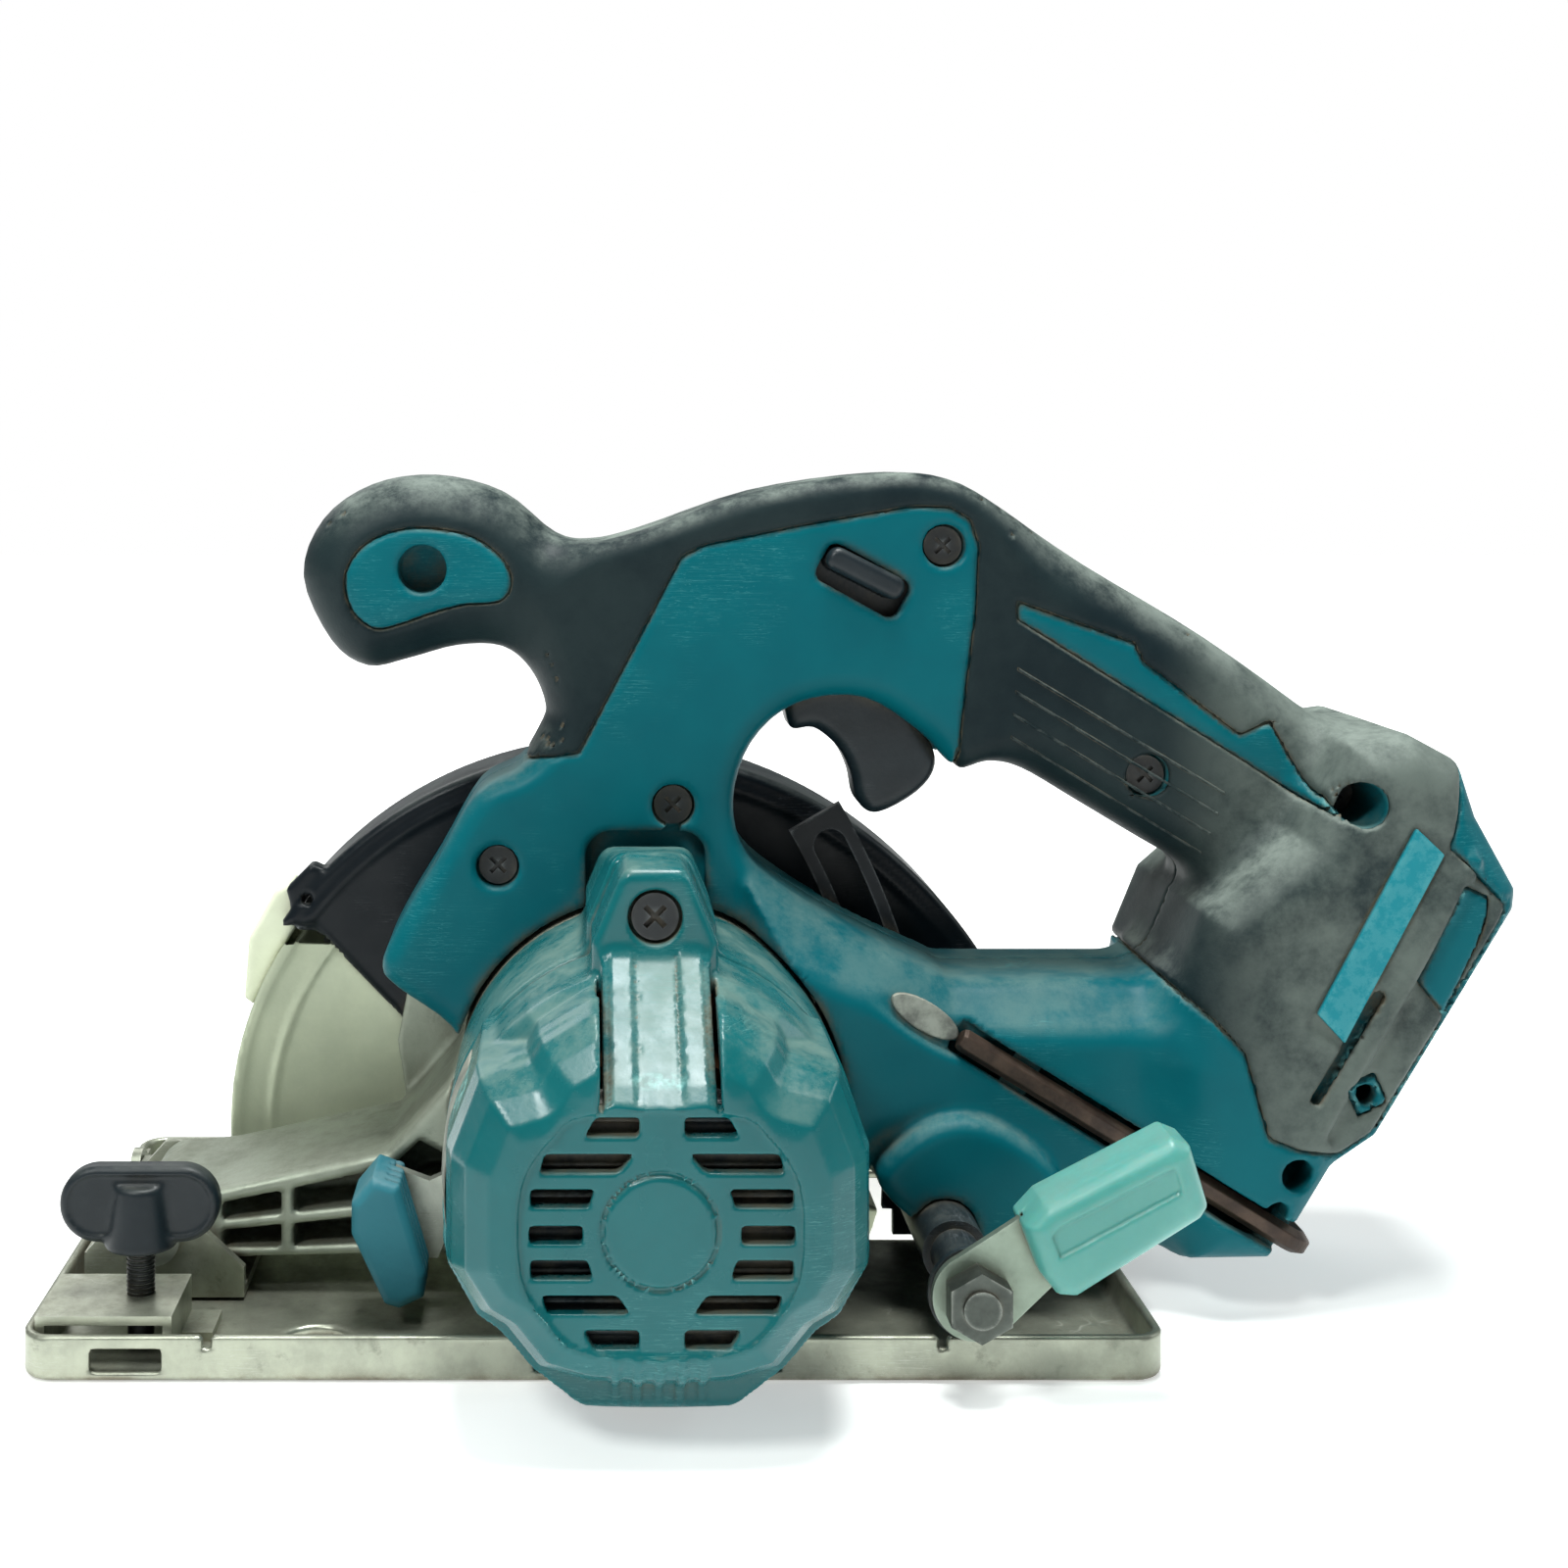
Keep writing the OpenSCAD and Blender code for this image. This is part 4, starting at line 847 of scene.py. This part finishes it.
def casting(x, y, z):
    """The gear case with its ribbed arm to the depth pivot."""
    body = motor_rod(x, y, z, MOTOR_R - 0.2, -20, 20, 1)
    body = smin(body, blade_rod(x, y, z, 31, 0, 20, 1), 2)
    body = smin(body, blade_rod(x, y, z, 34, 20, 28, 0.8), 1.5)
    body = smin(body, slab(CASE(x, z), y, 20, 26, 1), 1.5)
    body = any_of(body, blade_rod(x, y, z, 16, 28, 34, 0.6))
    arm = slab(ARM(x, z), y, -25, 20, 1.8)
    pockets = [slab(pocket(x, z), y, -30, -8, 0.5) for pocket in POCKETS]
    boss = np.hypot(x + 38, z - 22)
    pockets += [slab(abs(boss - 7.5) - 1.5, y, -30, -8), slab(boss - 4, y, -30, -8)]
    arm = smax(arm, -any_of(*pockets), 1.2)
    body = smin(body, arm, 2.5)
    body = smin(body, rod(x, y, z, PIVOT_X, PIVOT_Z, 8, -26, 20.5, 1), 1.5)
    motor_sizes = ((MOTOR_R - 4, -21, -4), (8.5, 3, 17), (11, -10, 0), (5, -5, 5), (MOTOR_R + 0.3, -30, -20))
    hollows = [motor_rod(x, y, z, *size) for size in motor_sizes]
    hollows += [blade_rod(x, y, z, *size) for size in ((28, 3, 17), (13, 17, 26), (8, -1, 40))]
    hollows.append(rod(x, y, z, PIVOT_X, PIVOT_Z, 4.05, -40, 40))
    body = all_of(body, -any_of(*hollows))
    return all_of(body, np.where(x > -20, 0.3 - z, 11 - z))


def guard_radius(x, z):
    """Radius of the upper guard's spiral in the direction of a point."""
    a = np.degrees(np.arctan2(z - BLADE_Z, x - BLADE_X))
    a = np.where(a < -90, a + 360, a)
    return 90.5 + 30 * np.clip((150 - a) / 130, 0, 1) ** 1.8


GUARD_BACK = [(150, 70), (107, 62), (104, 52), (98, 40), (96, 24), (90, 14)]
GUARD_BAND = Outline([(-110, 150), (150, 150)] + GUARD_BACK + [
    (30, 14), (-20, 44), (-43, 47), (-72.6, 77.5), (-84, 78), (-110, 84)])
GUARD_REAR = Outline([(-200, 200), (150, 200)] + GUARD_BACK + [(80, -60), (-200, -60)], step=1)
GUARD_LUG = Outline([(-80.1, 87.6), (-73.4, 94.3), (-65.1, 91), (-70, 76), (-77, 76)], margin=6)


def top_guard(x, y, z):
    """The fixed upper guard: a spiral band with a closed near and far side."""
    radius = guard_radius(x, z)
    from_blade = np.hypot(x - BLADE_X, z - BLADE_Z)
    outside = np.maximum(from_blade - radius, GUARD_BAND(x, z))
    body = slab(outside, y, 28, 57, 2.5)
    rib = slab(abs(from_blade - radius + 5.5) - 1, y, 27.4, 30, 0.4)
    body = smin(body, np.maximum(rib, GUARD_BAND(x, z) + 1.5), 1)
    body = smin(body, slab(GUARD_LUG(x, z), y, 29, 36, 1.2), 1)
    room = all_of(from_blade - radius + 2, GUARD_REAR(x, z) + 2, abs(y - 42.5) - 12.5)
    body = all_of(body, -room)
    seat = blade_rod(x, y, z, 34.2, 20, 30.5)
    window = np.maximum(z - (BLADE_Z + 1), 50 - y)
    window = np.minimum(window, blade_rod(x, y, z, 34, 50, 60))
    body = smax(body, -any_of(seat, window), 0.8)
    return smax(body, -rod(x, y, z, -74.4, 85, 1.5, 20, 40), 0.5)


def low_guard(x, y, z):
    """The swinging lower guard, a sector from 132 to 345 degrees about the blade."""
    u, w = x - BLADE_X, z - BLADE_Z
    r = np.hypot(u, w)
    a = np.degrees(np.arctan2(w, u))
    a = np.where(a < 60, a + 360, a)
    sector = np.maximum(132 - a, a - 345) * math.pi / 180 * np.maximum(r, 1)
    band = slab(abs(r - 85.7) - 1.1, y, 31.4, 53, 0.3)
    rim = r - 86.8
    near = slab(np.maximum(rim, 20 - r), y, 31.4, 32.9)
    far = slab(np.maximum(rim, 52 - r), y, 51.6, 53)
    body = smin(band, np.minimum(near, far), 2.5)
    body = smax(all_of(body, rim), np.where(r > 12, sector, -5), 0.8)
    rib = slab(np.maximum(abs(r - 76) - 0.8, sector + 3), y, 30.9, 32, 0.3)
    body = smin(body, rib, 0.8)
    body = any_of(body, slab(r - 22, y, 31.4, 34, 0.5))
    return all_of(body, -slab(r - 18, y, 30, 40))


LIP = Outline([
    (-83.8, 86), (-80, 87.6), (-77.6, 77.3), (-83.2, 68), (-89.6, 55.2), (-92.2, 57), (-91, 73)],
    margin=6)


def guard_lip(x, y, z):
    return slab(LIP(x, z), y, 36.6, 53, 1.4)


# ---- Base ----


def base_shape(x, y, z):
    """The pressed base plate with its rim, openings, fence slot and sight marks."""
    def plan(e, r):
        return corner(abs(x) - 125 + e + r, abs(y) - 70 + e + r, r)
    edge = plan(0, 7)
    outside = smax(smax(edge, -z, 2.2), z - 10, 0.6)
    inside = smax(plan(2, 5), 2.2 - z, 2.6)
    body = smax(outside, -inside, 0.5)
    near_rim = y + 66
    blade_gap = all_of(abs(x + 8) - 100, abs(y - 37.5) - 26.5)
    motor_dip = all_of(abs(x - 14) - 27, near_rim, 2.4 - z)
    fence_way = all_of(abs(x + 101.75) - 7.75, abs(abs(y) - 69) - 3, abs(z - 4.7) - 2.5)
    round_hole = np.hypot(x + 62.5, y + 52) - 7.75
    gear_gap = all_of(abs(x + 8) - 23, abs(y - 5) - 7)
    marks = [all_of(abs(x - place) - 0.8, near_rim, 7.4 - z) for place in (-84, 36.5, 76)]
    return smax(body, -any_of(blade_gap, motor_dip, fence_way, round_hole, gear_gap, *marks), 0.6)


def build_metal():
    carve_for("gear_housing", casting, (-112, -26, -9), (61, 34, 105), 1.05)
    carve_for("upper_guard", top_guard, (-93, 27, 13), (112, 57, 128), 1.15)
    carve_for("lower_guard", low_guard, (-95, 30, -62), (80, 53, 70), (1.1, 0.8, 1.1))
    carve_for("guard_lip", guard_lip, (-93, 35, 54), (-76, 54, 89), 0.7)
    carve_for("base_plate", base_shape, (-125, -70, 0), (125, 70, 10), (1.25, 1.25, 0.75))


# ---- Knob, levers and buttons ----


KNOB_Z = 33


def wing_knob(x, y, z):
    """Two hollowed wings on a round hub."""
    u, v = x - FENCE_X, y - FENCE_Y
    oval = np.hypot(np.maximum(abs(u) - 9.4, 0), z - KNOB_Z)
    body = slab(oval - 8.6, v, -3, 3, 1.8)
    for side in (-1, 1):
        body = smax(body, -slab(oval - 6.6, side * v, 2.5, 6), 0.6)
    hub_r = 6.2 + 0.14 * (KNOB_Z - z)
    hub = smax(smax(np.hypot(u * 0.95, v) - hub_r, 23.1 - z, 0.8), z - 37.2, 1.2)
    body = smin(body, hub, 1.6)
    return all_of(body, -all_of(np.hypot(u, v) - 3, z - 24.4))


GRIP_OUT = Outline([
    (90.6, 38.6), (95, 43.4), (122, 57.4), (126, 55.8), (129.8, 43), (128.2, 40.4), (102, 23.9), (98, 24.2),
    (94.2, 29)])


def lever_grip(x, y, z):
    """The depth lever's grip, with four ribs on its near face."""
    body = slab(GRIP_OUT(x, z), y, -86, -68, 4.2)
    for k in range(4):
        cx, cz = 104.5 + 6.1 * k, 39.4 + 3.3 * k
        rib = slab(box2(x, z, cx, cz, 1, 3.2, 1, 27), y, -86, -80, 0.6)
        body = smin(body, rib, 1)
    face = slab(GRIP_OUT(x, z) + 5, y, -90, -85.2)
    body = smax(body, -all_of(face, -(z - 33 - 0.54 * (x - 98)) * 0.88), 0.8)
    arm = np.maximum(abs(y + 77) - 1.02, ARM_PLATE(x, z))
    return all_of(body, -arm)


ARM_PLATE = Outline([(77, 29.6), (100, 44.5), (112, 47), (114, 40), (102, 28), (89, 15.4)])
PAD = Outline([(-55, 31), (-50, 37), (-44, 35), (-38, 15), (-38.4, 9.6), (-44, 7), (-47.4, 8), (-55, 24)])


def lock_pad(x, y, z):
    """The shaft lock's grooved pad, with a slot for its arm."""
    body = slab(PAD(x, z), y, -48, -28, 2.4)
    for k in range(5):
        y0 = -44.5 + 3.6 * k
        cut = np.maximum(abs(y - y0) - 0.5, -(z - 33 + 2.9 * (x + 46)) / 3.07 - 0.2)
        body = smax(body, -all_of(cut, -PAD(x, z) - 0.9), 0.5)
    return all_of(body, -all_of(abs(y + 32.5) - 1.52, -46 - x))


TRIGGER = Outline(curve_points([
    (49, 134.6), (48.4, 144), (56, 150), (72, 147), (82, 134), (85, 125.5), (80.5, 118.6), (70.6, 113.4),
    (65.7, 116.3), (64.1, 123.3), (61, 129.5), (55, 134.4)]))


def lock_lever(x, y, z):
    """The cross bar that shows in both slots, and the slide inside that closes them off."""
    bar = slab(box2(x, z, 65.6, 173.3, 10, 2.9, 2.6, -27), y, -23, 23, 1.8)
    return np.minimum(bar, slab(box2(x, z, 65.6, 171.4, 13.5, 7.6, 2, -29), y, -12, 12, 1))


def trigger(x, y, z):
    return slab(TRIGGER(x, z), y, -7.6, 7.6, 3)


def build_controls():
    carve_for("fence_knob", wing_knob, (-121, -60, 22), (-83, -42, 42), 0.6)
    carve_for("depth_lever_grip", lever_grip, (90, -86, 23), (131, -68, 58), 0.7, "lever_grip")
    carve_for("shaft_lock_pad", lock_pad, (-56, -48, 6), (-37, -28, 38), 0.6, "lock_pad")
    carve_for("trigger", trigger, (47, -8, 113), (86, 8, 151), 0.8)
    carve_for("lock_off_lever", lock_lever, (50, -23, 159), (82, 23, 184), 0.6, "lock_off")


def tube_sides(rings, count):
    """The side faces of a tube of rings with count points each."""
    pairs = [(j, (j + 1) % count) for j in range(count)]
    return [(near + a, near + b, near + count + b, near + count + a)
            for near in range(0, (rings - 1) * count, count) for a, b in pairs]


def hex_key():
    """A hexagonal bar with a round bend into its short arm."""
    radius, bend, long_arm, short_arm = 5 / math.sqrt(3), 5, 94.2, 16
    side = np.array((0, 1, 0))
    path = [(WRENCH_START + WRENCH_ALONG * t, WRENCH_ALONG) for t in (0, 1, long_arm - bend)]
    elbow = WRENCH_START + WRENCH_ALONG * (long_arm - bend) + side * bend
    for k in range(1, 9):
        a = k * math.pi / 16
        path.append((elbow + bend * (WRENCH_ALONG * math.sin(a) - side * math.cos(a)),
                     WRENCH_ALONG * math.cos(a) + side * math.sin(a)))
    path.append((path[-1][0] + side * (short_arm - bend), side))
    normal = np.array((math.sin(WRENCH_TURN), 0, math.cos(WRENCH_TURN)))
    rings = []
    for k, (at, along) in enumerate(path):
        across = np.cross(along, normal)
        size = radius * (0.86 if k == 0 else 1)
        for i in range(6):
            a = math.radians(60 * i)
            rings.append((at + size * (normal * math.cos(a) + across * math.sin(a))) * MM)
    last = 6 * (len(path) - 1)
    faces = tube_sides(len(path), 6) + [tuple(range(5, -1, -1)), tuple(range(last, last + 6))]
    key = make_object("hex_wrench_looks", rings, faces, smooth=False)
    soften(key, 0.35)
    stand_for(key, "hex_wrench")


def soften(piece, width):
    """Rounds a hard piece's edges with a bevel, without touching its own mesh."""
    bevel = piece.modifiers.new("edges", "BEVEL")
    bevel.width = width * MM
    bevel.segments = 2
    bevel.limit_method = "ANGLE"
    bevel.angle_limit = math.radians(35)
    bevel.harden_normals = True


def plate(name, points, y0, y1, width):
    """A flat plate with the outline (x, z), softened at its edges."""
    n = len(points)
    rings = [(x * MM, y * MM, z * MM) for y in (y0, y1) for x, z in points]
    faces = [tuple(range(n)), tuple(range(2 * n - 1, n - 1, -1))]
    faces += [(i, n + i, n + (i + 1) % n, (i + 1) % n) for i in range(n)]
    made = make_object(name, rings, faces, smooth=False)
    bm = bmesh.new()
    bm.from_mesh(made.data)
    bmesh.ops.recalc_face_normals(bm, faces=bm.faces)
    bm.to_mesh(made.data)
    bm.free()
    soften(made, width)
    return made


def leaf_plate(x, y, z):
    """The worn silvery patch in the scoop above the wrench."""
    u, w = from_wrench(x, z)
    tip = np.sqrt(((u + 9.5) / 9) ** 2 + (w / 3.4) ** 2)
    return np.maximum((tip - 1) * 3, abs(y + 31.6) - 0.7)


def grip_ridge(side, k):
    """One of the fine raised lines along the grip, laid on the housing's surface."""
    drop = 6.4 + 5.2 * k
    start = np.array((103 - 0.10 * drop, 157 - 1.05 * drop))
    end = np.array((152 - 1.6 * k, 126.5 - 0.95 * drop))
    depths = np.linspace(GRIP_HALF + 1.5, 4, 160)
    rings, sides, radius = 60, 6, 0.42
    points = []
    for i in range(rings):
        x, z = start + (end - start) * i / (rings - 1)
        y = side * depths[int(np.argmax(housing(x, side * depths, z) < 0))]
        for j in range(sides):
            turn = 2 * math.pi * j / sides
            points.append((x * MM, (y + radius * math.cos(turn)) * MM, (z + radius * math.sin(turn)) * MM))
    ends = [tuple(range(sides)), tuple(range(len(points) - 1, len(points) - sides - 1, -1))]
    faces = tube_sides(rings, sides) + ends
    word = "left" if side < 0 else "right"
    add_to(make_object(f"grip_line_{word}_{k + 1}", points, faces), f"overmould_{word}", "dark_rubber")


def build_details():
    for k in range(4):
        grip_ridge(-1, k)
        grip_ridge(1, k)
    corners = [(190.5, 115.4), (197, 109.2), (173.9, 65.6), (167.6, 72.4)]
    label = plate("foot_label", corners, -40.2, -38.4, 0.4)
    add_to(label, "shell_left", "plate_teal")
    leaf = carve("wrench_leaf", leaf_plate, (66, -36, 58), (92, -28, 84), 0.5)
    add_to(leaf, "shell_left", "label_grey")


# ---- CAD nodes that keep their own shape ----


# Materials that differ from a node's slot
FINISH = {"depth_nut": "worn_steel", "depth_bolt": "worn_steel", "depth_lever_arm": "arm_steel",
          "depth_guide": "guard_black", "housing_screws": "screw_black", "cap_screws": "screw_black",
          "guard_screws": "screw_black"}


def finish_cad():
    for name, piece in frame["nodes"].items():
        if not piece.hide_render:
            paint(piece, FINISH.get(name, SLOT_OF[name]))
            soften(piece, 0.4)


# ---- Stage, light and camera ----


def floor_material():
    s = Shader("pale_floor")
    s.surface(Base_Color=rgb(0.86, 0.87, 0.86), Roughness=0.8, Emission_Color=rgb(1, 1, 1))
    reach = s.node("ShaderNodeVectorMath", **{"0": s.place})
    reach.operation = "LENGTH"
    far = s.between(reach.outputs["Value"], 0.25, 0.9)
    s.surface(Emission_Strength=s.math("ADD", 0.45, s.times(far, 0.55)))
    return s.material


def build_stage():
    """A pale floor with a pit that the guard hangs into, hidden under the base."""
    x0, x1, y0, y1, deep = -112, 96, -30, 66, -90
    far = 4000
    ring = [(-far, -far), (far, -far), (far, far), (-far, far)]
    mouth = [(x0, y0), (x1, y0), (x1, y1), (x0, y1)]
    points = [(x * MM, y * MM, -0.0001) for x, y in ring + mouth]
    points += [(x * MM, y * MM, deep * MM) for x, y in mouth]
    faces = [(i, (i + 1) % 4, 4 + (i + 1) % 4, 4 + i) for i in range(4)]
    faces += [(4 + i, 4 + (i + 1) % 4, 8 + (i + 1) % 4, 8 + i) for i in range(4)] + [(8, 9, 10, 11)]
    floor = make_object("floor", points, faces, smooth=False)
    floor.data.materials.append(floor_material())


def area_light(name, place, aim, size, power, color=(1, 1, 1)):
    data = bpy.data.lights.new(name, "AREA")
    data.shape = "DISK"
    data.size = size
    data.energy = power
    data.color = color
    lamp = add_object(name, data)
    lamp.location = place
    lamp.rotation_euler = (Vector(aim) - Vector(place)).to_track_quat("-Z", "Y").to_euler()


def build_light():
    """A white studio: soft light from above and the front left, a dim fill, and a white background."""
    world = bpy.data.worlds.new("studio")
    world.use_nodes = True
    tree = world.node_tree
    fill = tree.nodes["Background"]
    fill.inputs[0].default_value = (0.94, 1, 0.98, 1)
    fill.inputs[1].default_value = 0.20
    white = tree.nodes.new("ShaderNodeBackground")
    white.inputs[0].default_value = (1, 1, 1, 1)
    seen = tree.nodes.new("ShaderNodeLightPath")
    blend = tree.nodes.new("ShaderNodeMixShader")
    tree.links.new(seen.outputs["Is Camera Ray"], blend.inputs[0])
    tree.links.new(fill.outputs[0], blend.inputs[1])
    tree.links.new(white.outputs[0], blend.inputs[2])
    tree.links.new(blend.outputs[0], tree.nodes["World Output"].inputs[0])
    bpy.context.scene.world = world
    aim = (0.03, -0.02, 0.09)
    area_light("key", (-0.55, -0.7, 0.95), aim, 0.30, 8, (0.97, 1, 0.98))
    area_light("top", (0.1, -0.1, 1.2), aim, 0.5, 20, (0.97, 1, 0.99))
    area_light("side", (1, 0.1, 0.55), aim, 0.5, 2, (0.95, 1, 1))
    area_light("back", (-0.5, 0.9, 0.8), aim, 0.8, 4)


def build_camera():
    data = bpy.data.cameras.new("camera")
    data.sensor_width = 36
    data.lens = 49.8
    data.shift_x = 0.132
    data.shift_y = -0.207
    data.clip_start = 0.01
    data.clip_end = 20
    camera = add_object("camera", data)
    camera.location = (-0.0035, -0.541, 0.2006)
    camera.rotation_euler = (math.radians(90), 0, 0)
    bpy.context.scene.camera = camera
    bpy.context.scene.view_settings.view_transform = "Standard"


build_stage()
build_light()
build_camera()
build_housing()
build_motor()
build_metal()
build_controls()
hex_key()
build_details()
finish_cad()
